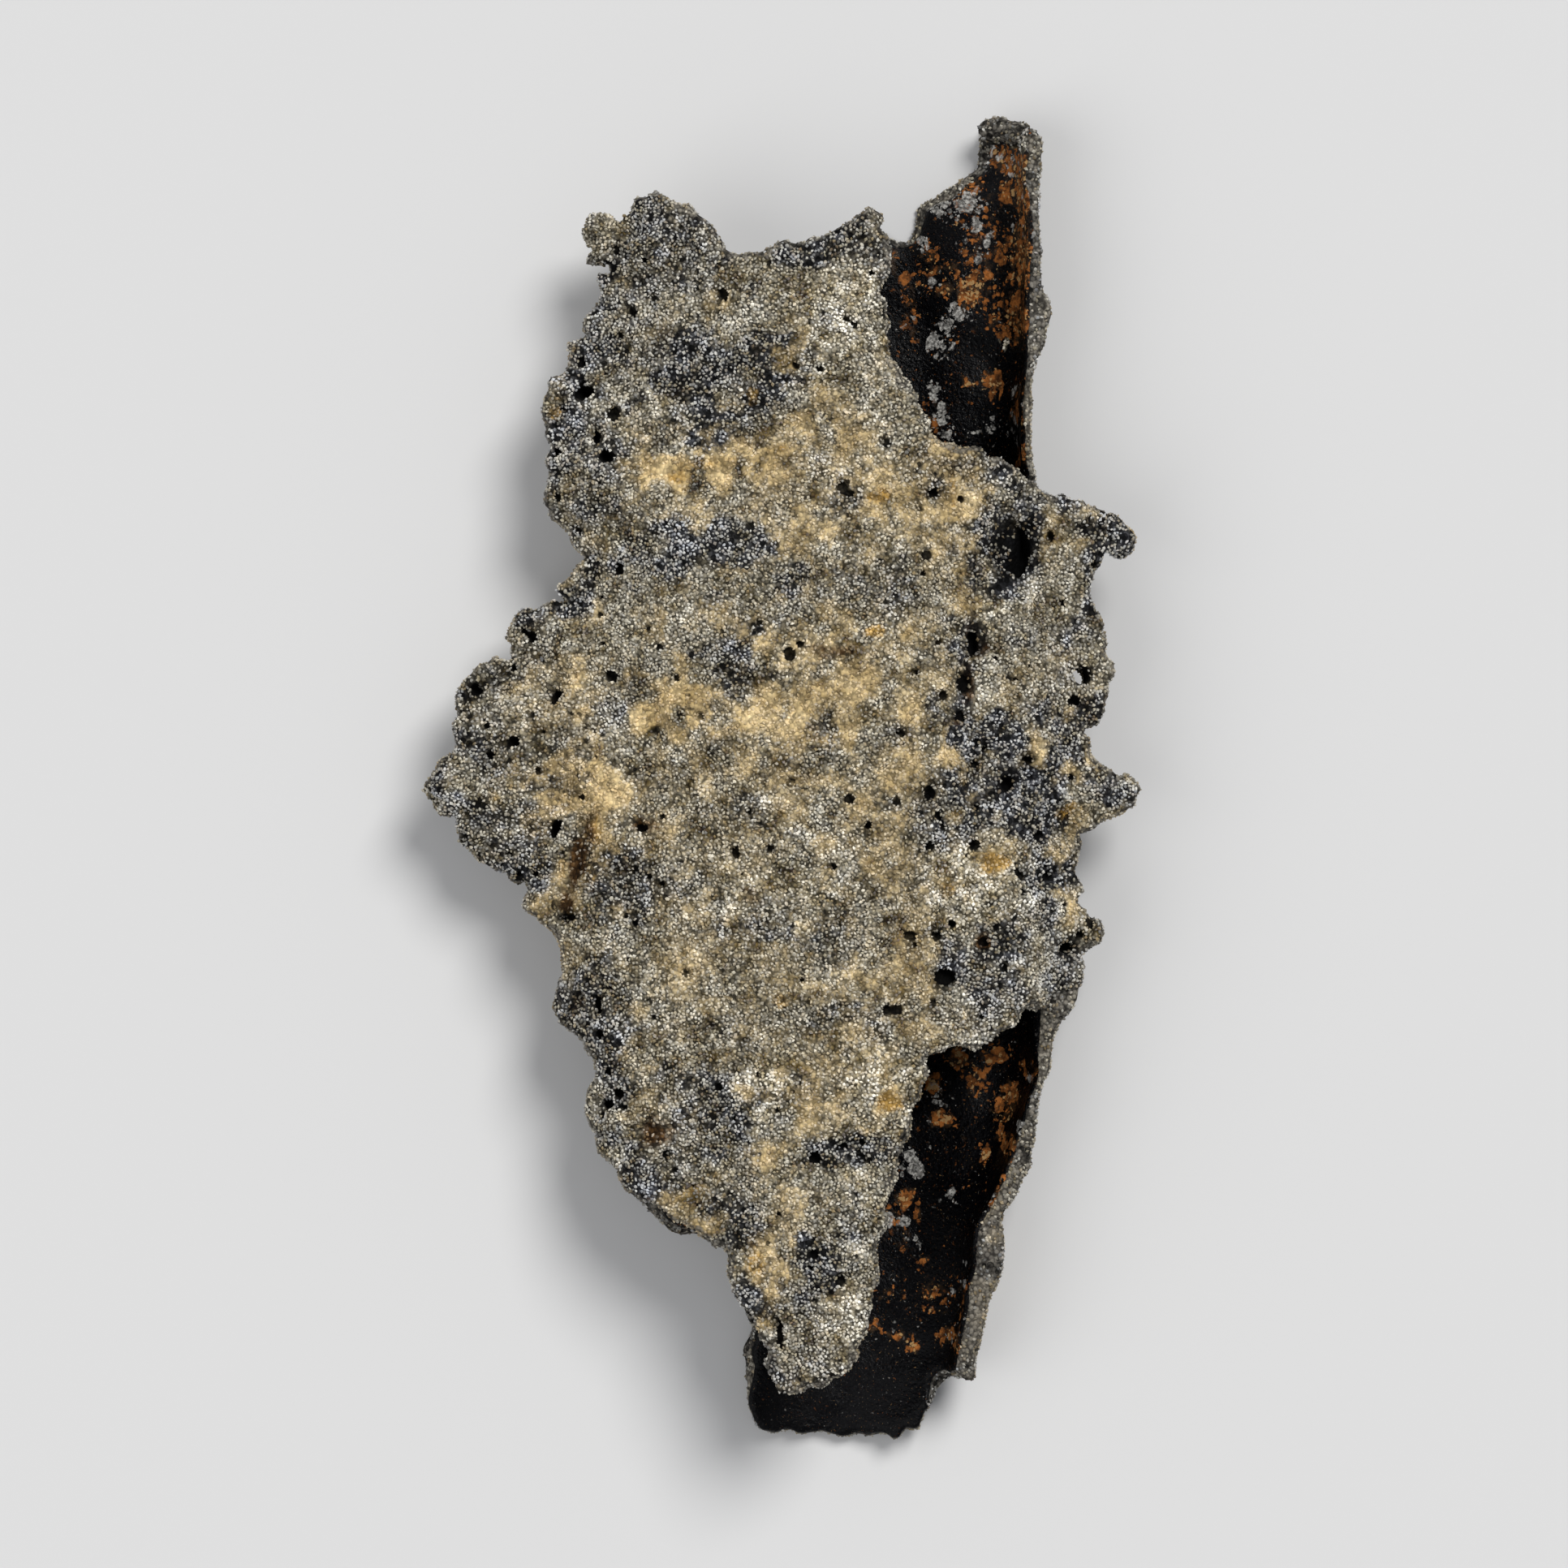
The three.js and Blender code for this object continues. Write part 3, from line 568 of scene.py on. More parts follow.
# Each light: its name, where it comes from, its softness and its power
LIGHTS = [
    ("key_light", (0.45, 0.65, 1.0), 0.45, 3.1),
    ("fill_light", (-0.8, -0.3, 0.9), 0.9, 1.1),
]
ROOM_COLOUR = (0.9, 0.93, 1.0, 1)
ROOM_STRENGTH = 0.42
PLAN_SIDE = 1932  # how many of the plan's units the view is across
PLAN_LEVEL = 0.005  # and the height at which it is that wide
LENS = 260
SENSOR = 36
EYE_Y = -0.25 * MM
CLIP_START = 0.01


# ---------------------------------------------------------------- smooth random fields
def eased(part):
    """From 0 to 1 without a corner at either end."""
    return part * part * (3 - 2 * part)


def lumps(x, y, z, size, seed):
    """Smooth noise from -1 to 1, with lumps about this big across."""
    period, shift, gain = 64, 1000.0, 1.5  # the shift keeps the cells' numbers above nought
    table = np.random.default_rng(seed).uniform(-1, 1, (period,) * 3).astype(np.float32)
    axes = []
    for value in (x, y, z):
        scaled = np.asarray(value, np.float32) / size + shift
        cell = np.floor(scaled).astype(np.int32)
        axes.append((cell % period, (cell + 1) % period, eased(scaled - cell)))
    (x0, x1, fx), (y0, y1, fy), (z0, z1, fz) = axes

    def row(yi, zi):
        return table[x0, yi, zi] * (1 - fx) + table[x1, yi, zi] * fx

    near = row(y0, z0) * (1 - fy) + row(y1, z0) * fy
    far = row(y0, z1) * (1 - fy) + row(y1, z1) * fy
    return gain * (near * (1 - fz) + far * fz)


def layered(start, x, y, z, layers):
    """A field with layers of lumps added to it."""
    for height, size, seed in layers:
        start = start + height * lumps(x, y, z, size, seed)
    return start


def smooth_step(low, high, value):
    return eased(np.clip((value - low) / (high - low), 0, 1))


def bell(value, width):
    return np.exp(-((value / width) ** 2))


def soft_min(a, b, reach):
    """The lower of two fields, rounded over where they are within reach of each other."""
    near = np.maximum(reach - np.abs(a - b), 0) / reach
    return np.minimum(a, b) - near * near * reach / 4


def soft_max(a, b, reach):
    return -soft_min(-a, -b, reach)


# ---------------------------------------------------------------- the shape, as a distance field
def from_plan(points):
    """Plan places as x and y in millimetres, in the object's frame."""
    found = np.array(points, float)[:, :2] - PLAN_MIDDLE
    return found * (PLAN_UNIT, -PLAN_UNIT)


def off_segment(x, y, start, end):
    """How far each point is from a straight piece of line."""
    along = end - start
    u, v = x - start[0], y - start[1]
    share = np.clip((u * along[0] + v * along[1]) / (along[0] * along[0] + along[1] * along[1]), 0, 1)
    return np.hypot(u - share * along[0], v - share * along[1])


def outline_distance(x, y, outline):
    """How far each point is outside a closed outline, negative inside it."""
    nearest = np.full(np.broadcast(x, y).shape, np.inf)
    inside = np.zeros(nearest.shape, bool)
    for start, end in zip(outline, np.roll(outline, -1, axis=0)):
        nearest = np.minimum(nearest, off_segment(x, y, start, end))
        (ax, ay), (bx, by) = start, end
        if ay != by:
            inside ^= ((ay > y) != (by > y)) & (x < (bx - ax) * (y - ay) / (by - ay) + ax)
    return np.where(inside, -nearest, nearest)


def line_offset(x, y, line):
    """Signed distance to an open line that runs down the plan: positive on its right."""
    nearest = np.full(np.broadcast(x, y).shape, np.inf)
    side = np.zeros(nearest.shape)
    for start, end in zip(line[:-1], line[1:]):
        off = off_segment(x, y, start, end)
        turn = np.sign((y - start[1]) * (end - start)[0] - (x - start[0]) * (end - start)[1])
        side = np.where(off < nearest, turn, side)
        nearest = np.minimum(nearest, off)
    return nearest * side


def bore_at(y):
    """The bore's left edge, tallest place, right edge, half height and middle height at y."""
    left, middle, right, half = (np.interp(y, BORE[:, 0], column) for column in BORE[:, 1:].T)
    return left, middle, right, half, half + WALL - FLATTENED


def tube_distance(x, y, z, skin):
    """About how far each point is outside the bore, or outside the bore grown by skin."""
    left, middle, right, half, height = bore_at(y)
    on_left = x < middle
    reach = np.where(on_left, middle - left, right - middle) + skin
    power = np.where(on_left, LEFT_POWER, RIGHT_POWER)
    rise = half + skin
    across = np.abs(x - middle) / reach + SMALLEST
    up = np.abs(z - height) / rise + SMALLEST
    size = (across**power + up**power) ** (1 / power)
    steepness = np.hypot(across ** (power - 1) / reach, up ** (power - 1) / rise)
    return (size - 1) * size ** (power - 1) / steepness


class Field:
    """The distance to the surface at every point of a grid, negative inside the solid."""

    def __init__(self):
        low, high = (np.array(corner) / MM for corner in cad_box)
        self.low = low - MARGIN_BELOW
        count = np.ceil((high + MARGIN_ABOVE - self.low) / SAMPLING).astype(int)
        x, y, z = (self.low[i] + SAMPLING * np.arange(count[i]) for i in range(3))
        self.x, self.y, self.z = x[:, None, None], y[None, :, None], z[None, None, :]
        self.value = None

    def window(self, centre, reach):
        """The part of the grid within reach of a point: its slices and its coordinates."""
        first = np.floor((np.asarray(centre) - reach - self.low) / SAMPLING).astype(int)
        last = np.ceil((np.asarray(centre) + reach - self.low) / SAMPLING).astype(int) + 1
        first, last = np.maximum(first, 0), np.minimum(last, self.value.shape)
        cut = tuple(slice(a, b) for a, b in zip(first, last))
        return cut, self.x[cut[0]], self.y[:, cut[1]], self.z[:, :, cut[2]]

    def surface_height(self, x, y, front=True):
        """Height of the front or back surface over each place."""
        i = np.clip(np.rint((x - self.low[0]) / SAMPLING).astype(int), 0, len(self.x) - 1)
        j = np.clip(np.rint((y - self.low[1]) / SAMPLING).astype(int), 0, self.y.size - 1)
        solid = self.value[i, j] < 0
        if front:
            level = solid.shape[-1] - 1 - np.argmax(solid[..., ::-1], axis=-1)
        else:
            level = np.argmax(solid, axis=-1)
        return np.where(solid.any(axis=-1), self.z.ravel()[level], np.nan)

    def scoop(self, centre, radii, soft=SOFT_PIT):
        """Takes an ellipsoid out."""
        cut, x, y, z = self.window(centre, np.max(radii) + 2 * soft)
        u, v, w = ((a - c) / r for a, c, r in zip((x, y, z), centre, radii))
        hollow = (np.sqrt(u * u + v * v + w * w) - 1) * np.min(radii)
        self.value[cut] = soft_max(self.value[cut], -hollow, soft)

    def add_bead(self, centre, radius, soft=SOFT_BEAD):
        cut, x, y, z = self.window(centre, radius + 2 * soft)
        off = np.sqrt((x - centre[0]) ** 2 + (y - centre[1]) ** 2 + (z - centre[2]) ** 2)
        self.value[cut] = soft_min(self.value[cut], off - radius, soft)


FRONT_OUTLINE = from_plan(LEFT_EDGE + FRONT_BREAK + RIGHT_EDGE + FRONT_TOP)
BACK_OUTLINE = from_plan(LEFT_EDGE + BACK_BREAK + RIGHT_EDGE + BACK_TOP)


def front_relief(x, y):
    """How far the front is lowered: the valley and the lower lobe beyond it."""
    line = from_plan(VALLEY)
    off = line_offset(x, y, line)
    low, high = line[-1, 1] - VALLEY_BEYOND[0], line[0, 1] + VALLEY_BEYOND[1]
    ends = smooth_step(low, low + VALLEY_FADE, y) * smooth_step(high, high - VALLEY_FADE, y)
    width = np.where(off > 0, VALLEY_FAR_SIDE * VALLEY_WIDTH, VALLEY_WIDTH)
    valley = VALLEY_DEPTH * bell(off, width) * ends
    return valley + LOBE_DROP * smooth_step(*LOBE_BAND, off) * ends


def wing_distance(x, y, z, edge):
    """The wings: one ragged sheet that thins towards its edge and waves up and down."""
    middle = layered(BROKEN_LEVEL, x, y, 0, WING_WAVES)
    thicker = smooth_step(0, WING_TAPER, -edge)
    half = WING_EDGE_HALF + (WING_ROOT_HALF - WING_EDGE_HALF) * thicker
    half = half * layered(1, x, y, 0, WING_SWELLS)
    return soft_max(np.abs(z - middle) - half, edge, SOFT_WING_EDGE)


def edges_at(x, y):
    """How far each place is outside the front wall's outline and the back wall's."""
    ragged = layered(0, x, y, 0, RAGGED_EDGE)
    smoother = layered(0, x, y, 0, WORN_EDGE) + LESS_RAGGED * ragged
    front = outline_distance(x, y, FRONT_OUTLINE)
    back = outline_distance(x, y, BACK_OUTLINE)
    worn = np.where(back < front, smoother, ragged)
    return front + ragged - EDGE_ROUNDING, back + worn - EDGE_ROUNDING


def front_and_back(y, z):
    """1 where a point belongs to the front wall, and the same for the back wall."""
    height = bore_at(y)[4]
    return [smooth_step(height + low, height + high, z) for low, high in (FRONT_BAND, BACK_BAND)]


def small_relief(x, y):
    """The wide hollows and the crack, as how far they lower the front."""
    lowered = np.zeros(np.broadcast(x, y).shape)
    for (cx, cy), (_, _, wide, long, depth) in zip(from_plan(HOLLOWS), HOLLOWS):
        off = np.hypot((x - cx) / wide, (y - cy) / long) / PLAN_UNIT
        lowered = lowered + depth * np.exp(-HOLLOW_FALL * off**2)
    off = layered(line_offset(x, y, from_plan(CRACK)), x, y, 0, CRACK_WANDER)
    return lowered + CRACK_DEPTH * bell(off, CRACK_WIDTH)


def crust_distance(x, y, z, either_edge):
    """The outer skin before any bubble burst in it."""
    on_front, on_back = front_and_back(y, z)
    sunk = z + front_relief(x, y) * on_front
    outside = tube_distance(x, y, sunk, WALL)
    outside = soft_min(outside, wing_distance(x, y, sunk, either_edge), SOFT_WING)
    for knob_x, knob_y, half_width, half_length in KNOBS:
        u, v = (x - knob_x) / half_width, (y - knob_y) / half_length
        w = (z - KNOB_CENTRE) / KNOB_HEIGHT
        knob = (np.sqrt(u * u + v * v + w * w) - 1) * half_width
        outside = soft_min(outside, knob, SOFT_KNOB)
    outside = layered(outside, x, y, z, BROAD_LUMPS)
    outside = layered(outside, x, y * LONG_LUMPS_CROSSWISE, z, LONG_LUMPS)
    outside = layered(outside, x, y, z, SMALL_LUMPS)
    outside = outside + small_relief(x, y) * on_front
    folds = lumps(x * FOLD_STRETCH, y, z, FOLD_SIZE, FOLD_SEED)
    return outside + (FRONT_FOLDS * on_front + BACK_FOLDS * on_back) * folds


def bore_distance(x, y, z):
    sunk = z + front_relief(x, y) * front_and_back(y, z)[0]
    bore = tube_distance(x, y, sunk, 0.0)
    above, below = smooth_step(*THINNED_ABOVE_Y, y), smooth_step(*THINNED_BELOW_Y, y)
    bore = bore - (THINNED_ABOVE * above + THINNED_BELOW * below) * smooth_step(*THINNED_X, x)
    narrowed = NARROWED * bell(y - NARROWED_AT, NARROWED_ALONG)
    bore = bore + narrowed * smooth_step(*NARROWED_X, x)
    return layered(bore, x, y, z, BORE_LUMPS)


def break_distance(x, y, z, front_edge, back_edge, bore):
    """What broke off: outside the front's outline above, outside the back's below."""
    slant = BREAK_SLANT * smooth_step(*BREAK_SLANT_Y, y) + TIP_SLANT * smooth_step(*TIP_SLANT_Y, y)
    slant = slant * (1 - np.clip(bore / WALL, 0, 1)) * smooth_step(*SLANT_X, x)
    slant = slant + LIP_WORN * smooth_step(*LIP_SKIN, bore) * smooth_step(*LIP_Y, y)
    crumbled = layered(0, x, y, z, CRUMBLED_BREAK)
    level = layered(BROKEN_LEVEL, x, y, 0, BREAK_WAVES) + crumbled
    above = np.minimum(z - level, front_edge + crumbled)
    below = np.minimum(level - z, back_edge + crumbled + slant)
    either = np.minimum(front_edge, back_edge)
    return soft_max(soft_max(above, below, SOFT_WALLS), either, SOFT_BREAK)


def burst_holes(field):
    """Holes through the wings, which lead inwards as they go down."""
    for (x, y), (_, _, wide, long, turn) in zip(from_plan(BURST_HOLES), BURST_HOLES):
        cut, gx, gy, gz = field.window((x, y, BROKEN_LEVEL), HOLE_REACH)
        inward = math.copysign(HOLE_SLANT, x)
        angle = math.radians(-turn)
        across = gx - x - inward * (gz - BROKEN_LEVEL - WING_ROOT_HALF)
        along = across * math.cos(angle) + (gy - y) * math.sin(angle)
        aside = (gy - y) * math.cos(angle) - across * math.sin(angle)
        wide, long = wide * PLAN_UNIT, long * PLAN_UNIT
        hole = (np.hypot(along / wide, aside / long) - 1) * min(wide, long)
        hole = layered(hole, gx, gy, gz, RAGGED_HOLE)
        field.value[cut] = soft_max(field.value[cut], -hole, SOFT_HOLE)


def front_pits(field):
    places = from_plan(PITS)
    heights = field.surface_height(places[:, 0], places[:, 1])
    for (x, y), height, (_, _, wide, long, depth) in zip(places, heights, PITS):
        if np.isfinite(height):
            field.scoop((x, y, height), np.array([wide * PLAN_UNIT, long * PLAN_UNIT, depth]))


def scattered_vesicles(field):
    """Small gas bubbles that burst at the crust, more of them near the edges and below."""
    rng = np.random.default_rng(VESICLE_SEED)
    low, high = (np.array(corner) / MM for corner in cad_box)
    x, y = rng.uniform(low[0], high[0], VESICLES), rng.uniform(low[1], high[1], VESICLES)
    front = rng.random(VESICLES) < VESICLES_IN_FRONT
    heights = np.where(
        front, field.surface_height(x, y), field.surface_height(x, y, front=False))
    near_edge = outline_distance(x, y, FRONT_OUTLINE) > -EDGE_STRIP
    wanted = np.where(near_edge | ~front, 1.0, VESICLES_INLAND)
    keep = np.isfinite(heights) & (rng.random(VESICLES) < wanted)
    size = VESICLE_RADIUS + VESICLE_GROWTH * rng.random(VESICLES) ** VESICLE_RARITY
    for i in np.flatnonzero(keep):
        radii = size[i] * np.array([1.0, rng.uniform(*VESICLE_WIDTH), rng.uniform(*VESICLE_DEPTH)])
        field.scoop((x[i], y[i], heights[i]), radii, SOFT_VESICLE)


def beads_along(field, outline):
    """Blobs of melted sand all along the ragged edges."""
    rng = np.random.default_rng(BEAD_SEED)
    for (ax, ay), (bx, by) in zip(outline[:-1], outline[1:]):
        for share in rng.random(BEADS_PER_SIDE):
            inward = rng.uniform(*BEAD_INWARD)
            length = math.hypot(bx - ax, by - ay)
            x = ax + share * (bx - ax) - inward * (by - ay) / length
            y = ay + share * (by - ay) + inward * (bx - ax) / length
            height = field.surface_height(np.array([x]), np.array([y]))[0]
            if np.isfinite(height):
                radius = rng.uniform(*BEAD_RADIUS)
                field.add_bead((x, y, height - rng.uniform(*BEAD_SUNK)), radius)


def surface_mesh(field):
    """The surface where the field is nought, as vertices and quads: one vertex in each cell."""
    value = field.value
    inside = value < 0
    shape = np.array(value.shape) - 1
    corners = [(i, j, k) for i in (0, 1) for j in (0, 1) for k in (0, 1)]

    def shifted(array, i, j, k):
        return array[i:shape[0] + i, j:shape[1] + j, k:shape[2] + k]

    filled = sum(shifted(inside, *corner).astype(np.int8) for corner in corners)
    cells = np.argwhere((filled > 0) & (filled < 8))
    at_corner = {c: value[tuple((cells + c).T)] for c in corners}
    total, crossings = np.zeros((len(cells), 3)), np.zeros(len(cells))
    for start in corners:
        for axis in range(3):
            if start[axis]:
                continue
            end = tuple(1 if i == axis else start[i] for i in range(3))
            a, b = at_corner[start], at_corner[end]
            crossed = (a < 0) != (b < 0)
            place = np.zeros((len(cells), 3)) + start
            place[:, axis] = np.where(crossed, a / np.where(crossed, a - b, 1), 0)
            total += place * crossed[:, None]
            crossings += crossed
    vertices = field.low + SAMPLING * (cells + total / crossings[:, None])
    number = np.full(shape, -1, np.int32)
    number[tuple(cells.T)] = np.arange(len(cells))

    quads = []
    for axis in range(3):
        one, two = [i for i in range(3) if i != axis]
        ahead = [slice(1, -1)] * 3
        ahead[axis] = slice(0, -1)
        behind = list(ahead)
        behind[axis] = slice(1, None)
        starts = inside[tuple(ahead)]
        crossed = np.argwhere(starts != inside[tuple(behind)])
        going_out = starts[tuple(crossed.T)]
        base = crossed + [0 if i == axis else 1 for i in range(3)]
        ring = []
        for step_one, step_two in ((0, 0), (1, 0), (1, 1), (0, 1)):
            cell = base.copy()
            cell[:, one] -= step_one
            cell[:, two] -= step_two
            ring.append(number[tuple(cell.T)])
        ring = np.stack(ring, 1)
        flip = going_out if axis == 1 else ~going_out
        ring[flip] = ring[flip][:, ::-1]
        quads.append(ring)
    return vertices, np.concatenate(quads)


def largest_part(vertices, quads):
    """Leaves out crumbs and sealed bubbles, which touch the largest part nowhere."""
    label = np.arange(len(vertices))
    while True:
        lowest = label[quads].min(1)
        before = label.copy()
        for corner in range(4):
            np.minimum.at(label, quads[:, corner], lowest)
        label = label[label]
        if (label == before).all():
            break
    keep = label == np.bincount(label).argmax()
    renumber = np.cumsum(keep) - 1
    return vertices[keep], renumber[quads[keep[quads[:, 0]]]]


def carved_field():
    field = Field()
    x, y, z = field.x, field.y, field.z
    front_edge, back_edge = edges_at(x, y)
    field.value = crust_distance(x, y, z, np.minimum(front_edge, back_edge))
    beads_along(field, FRONT_OUTLINE)
    for (nodule_x, nodule_y), (_, _, height, radius) in zip(from_plan(NODULES), NODULES):
        field.add_bead((nodule_x, nodule_y, height), radius)
    front_pits(field)
    scattered_vesicles(field)
    bore = bore_distance(x, y, z)
    wall = soft_min(field.value, bore - GLASS_LAYER, SOFT_GLASS)
    wall = soft_max(wall, -bore, SOFT_BORE)
    broken = break_distance(x, y, z, front_edge, back_edge, bore)
    field.value = soft_max(wall, broken, SOFT_BREAK)
    for (lump_x, lump_y), (_, _, height, radius, _) in zip(from_plan(TIP_LUMPS), TIP_LUMPS):
        field.add_bead((lump_x, lump_y, height), radius, SOFT_TIP_LUMP)
    burst_holes(field)
    field.value = soft_max(field.value, FLOOR_GAP - z, SOFT_FLOOR)
    return field


def patches(x, y, places, ragged, seed):
    """How strongly each place lies in one of the patches, whose borders are uneven."""
    found = np.zeros(len(x))
    layers = [(height, size, seed + added) for height, size, added in PATCH_BORDERS]
    uneven = ragged * layered(0, x, y, 0, layers)
    for (cx, cy), (_, _, wide, long, strength) in zip(from_plan(places), places):
        off = np.hypot((x - cx) / wide, (y - cy) / long) / PLAN_UNIT + uneven
        found = np.maximum(found, strength * smooth_step(*IN_A_PATCH, off))
    return found


def paint_zones(mesh):
    """Marks on each vertex what the surface is there and where shade is painted, for the materials and
    the grains.
    """
    place = np.empty(3 * len(mesh.vertices))
    mesh.vertices.foreach_get("co", place)
    x, y, z = place.reshape(-1, 3).T / MM
    facing = np.empty(3 * len(mesh.vertices))
    mesh.vertex_normals.foreach_get("vector", facing)
    front_edge, back_edge = edges_at(x, y)
    either_edge = np.minimum(front_edge, back_edge)
    bore = bore_distance(x, y, z)
    crust = crust_distance(x, y, z, either_edge)
    broken = break_distance(x, y, z, front_edge, back_edge, bore)
    upward = smooth_step(*FACING_UP, facing[2::3]) * smooth_step(*ABOVE_THE_BACK, z)
    on_front = np.maximum(front_and_back(y, z)[0], upward)
    unseen = 1 - on_front
    on_rim = smooth_step(*ON_THE_RIM, broken)
    near_edge = smooth_step(*NEAR_AN_EDGE, either_edge)
    glass = smooth_step(*INSIDE_THE_BORE, bore) * smooth_step(*UNDER_THE_SKIN, crust)

    def clouds(size, low, high, seed):
        """Where random clouds this big lie."""
        coarse, fine = lumps(x, y, z, size, seed), lumps(x, y, z, FINER * size, seed + 1)
        return smooth_step(low, high, coarse + FINER * fine)

    lumped, shade_and_dark = np.zeros(len(x)), np.zeros(len(x))
    for (lump_x, lump_y), (_, _, height, radius, shade) in zip(from_plan(TIP_LUMPS), TIP_LUMPS):
        off = np.sqrt((x - lump_x) ** 2 + (y - lump_y) ** 2 + (z - height) ** 2) - radius
        near = smooth_step(*ROUND_A_LUMP, off)
        lumped, shade_and_dark = np.maximum(lumped, near), np.maximum(shade_and_dark, shade * near)
    glass = glass * (1 - lumped)
    # How far down a pit each place is, which leaves it bare of grains and gets painted shade
    pit = smooth_step(*DOWN_A_PIT, -crust) * (1 - on_rim) * (1 - glass) * (1 - lumped)

    in_all, more_by_edge, more_unseen = SLATE_STREWN
    size, low, high, seed = SLATE_CLOUDS
    slate = in_all + more_by_edge * near_edge + more_unseen * unseen
    slate = slate * clouds(size, low - SLATE_EARLIER * near_edge, high, seed)
    # One mark holds how dark the tip lumps are, and painted shade in the front's hollows and under its
    # edges
    marks = {
        "glass": glass,
        "pit": pit,
        "shade_and_dark": np.maximum(shade_and_dark, on_front * (1 - glass) * patches(x, y, *PAINTED_SHADE_PATCHES)),
        "rim": on_rim * (1 - glass),
        "slate": np.maximum(on_front * patches(x, y, *SLATE_PATCHES), slate),
    }
    for name, (patchy, in_front, out_of_sight, cloudy) in SAND_MARKS.items():
        strewn = (in_front * on_front + out_of_sight * unseen) * clouds(*cloudy)
        marks[name] = np.maximum(on_front * patches(x, y, *patchy), strewn)
    stained = 1 - CLEAN_END * smooth_step(*LOWER_END, y)
    for name, (patchy, least, cloud_strength, cloudy) in GLASS_MARKS.items():
        strewn = stained * (least + cloud_strength * clouds(*cloudy))
        marks[name] = np.maximum(patches(x, y, *patchy), strewn)
    for name, values in marks.items():
        layer = mesh.attributes.new(name, "FLOAT", "POINT")
        layer.data.foreach_set("value", values.astype(np.float32))


def body_object():
    vertices, quads = largest_part(*surface_mesh(carved_field()))
    mesh = bpy.data.meshes.new("fused_sand_tube")
    mesh.from_pydata(vertices * MM, [], quads)
    mesh.validate()
    body = bpy.data.objects.new("fused_sand_tube", mesh)
    bpy.context.scene.collection.objects.link(body)
    thin = body.modifiers.new("thin", "DECIMATE")
    thin.ratio = min(1.0, MOST_FACES / (2 * len(quads)))
    seen = body.evaluated_get(bpy.context.evaluated_depsgraph_get())
    body.data = bpy.data.meshes.new_from_object(seen)
    body.modifiers.clear()
    body.data.shade_smooth()
    paint_zones(body.data)
    return body


# ---------------------------------------------------------------- nodes
def put(tree, kind, inputs=None, **settings):
    """Adds a node. Its inputs are given as values or as other nodes' outputs."""
    node = tree.nodes.new(kind)
    for name, value in settings.items():
        setattr(node, name, value)
    for name, value in (inputs or {}).items():
        if isinstance(value, bpy.types.NodeSocket):
            tree.links.new(value, node.inputs[name])
        else:
            node.inputs[name].default_value = value
    return node


def calc(tree, first, second, operation, clamp=False):
    """What a node for sums makes of two values."""
    node = put(tree, "ShaderNodeMath", {0: first, 1: second}, operation=operation)
    node.use_clamp = clamp
    return node.outputs[0]


plus = partial(calc, operation="ADD")
minus = partial(calc, operation="SUBTRACT")
times = partial(calc, operation="MULTIPLY")
over = partial(calc, operation="DIVIDE")
larger = partial(calc, operation="MAXIMUM")


def vector(tree, operation, inputs):
    return put(tree, "ShaderNodeVectorMath", inputs, operation=operation).outputs[0]


def ease(tree, value, low, high, start=0.0, end=1.0):
    """Start where the value is low, end where it is high, and smooth between."""
    limits = {"Value": value, "From Min": low, "From Max": high, "To Min": start, "To Max": end}
    node = put(tree, "ShaderNodeMapRange", limits, interpolation_type="SMOOTHSTEP")
    return node.outputs["Result"]


def blend(tree, share, first, second, mode="MIX"):
    node = put(tree, "ShaderNodeMix", data_type="RGBA", blend_type=mode)
    for number, value in ((0, share), (6, first), (7, second)):
        if isinstance(value, bpy.types.NodeSocket):
            tree.links.new(value, node.inputs[number])
        else:
            node.inputs[number].default_value = value
    return node.outputs[2]


def mix_values(tree, share, first, second):
    return put(tree, "ShaderNodeMix", {0: share, 2: first, 3: second}).outputs[0]


def shaded(tree, shade, light):
    """A colour made lighter or darker."""
    level = put(tree, "ShaderNodeCombineColor", {0: light, 1: light, 2: light}).outputs[0]
    return blend(tree, 1.0, shade, level, "MULTIPLY")


def mark(tree, name):
    """One of the marks that paint_zones left on the surface."""
    return put(tree, "ShaderNodeAttribute", attribute_name=name).outputs["Fac"]


def object_place(tree):
    return put(tree, "ShaderNodeTexCoord").outputs["Object"]


def noise_at(tree, size, detail=2.0, roughness=0.5, kind="Fac"):
    values = {"Vector": object_place(tree), "Scale": 1 / (size * MM), "Detail": detail,
              "Roughness": roughness}
    return put(tree, "ShaderNodeTexNoise", values).outputs[kind]


def wavering(tree, size, reach, detail=2.0, roughness=0.5):
    """Noise that wavers about nought, this far either way."""
    level = minus(tree, noise_at(tree, size, detail, roughness), 0.5)
    return times(tree, level, 2.0 * reach)


def colour(red, green, blue):
    """A screen colour, 0 to 255, as the light values that a node takes."""
    parts = [v / 255 for v in (red, green, blue)]
    return tuple(p / 12.92 if p <= 0.04045 else ((p + 0.055) / 1.055) ** 2.4 for p in parts) + (1,)


def sand_values(palette):
    return {name: colour(*values) for name, values in palette.items()}


def new_group(name, inputs, outputs):
    """An empty group, its given inputs and its outputs, of which each is a float or a colour."""
    tree = bpy.data.node_groups.new(name, "ShaderNodeTree")
    for label, value in inputs.items():
        kind = "NodeSocketColor" if isinstance(value, tuple) else "NodeSocketFloat"
        socket = tree.interface.new_socket(label, in_out="INPUT", socket_type=kind)
        socket.default_value = value
    for label in outputs:
        kind = "NodeSocketColor" if label == "Color" else "NodeSocketFloat"
        tree.interface.new_socket(label, in_out="OUTPUT", socket_type=kind)
    return tree, tree.nodes.new("NodeGroupInput").outputs, tree.nodes.new("NodeGroupOutput").inputs


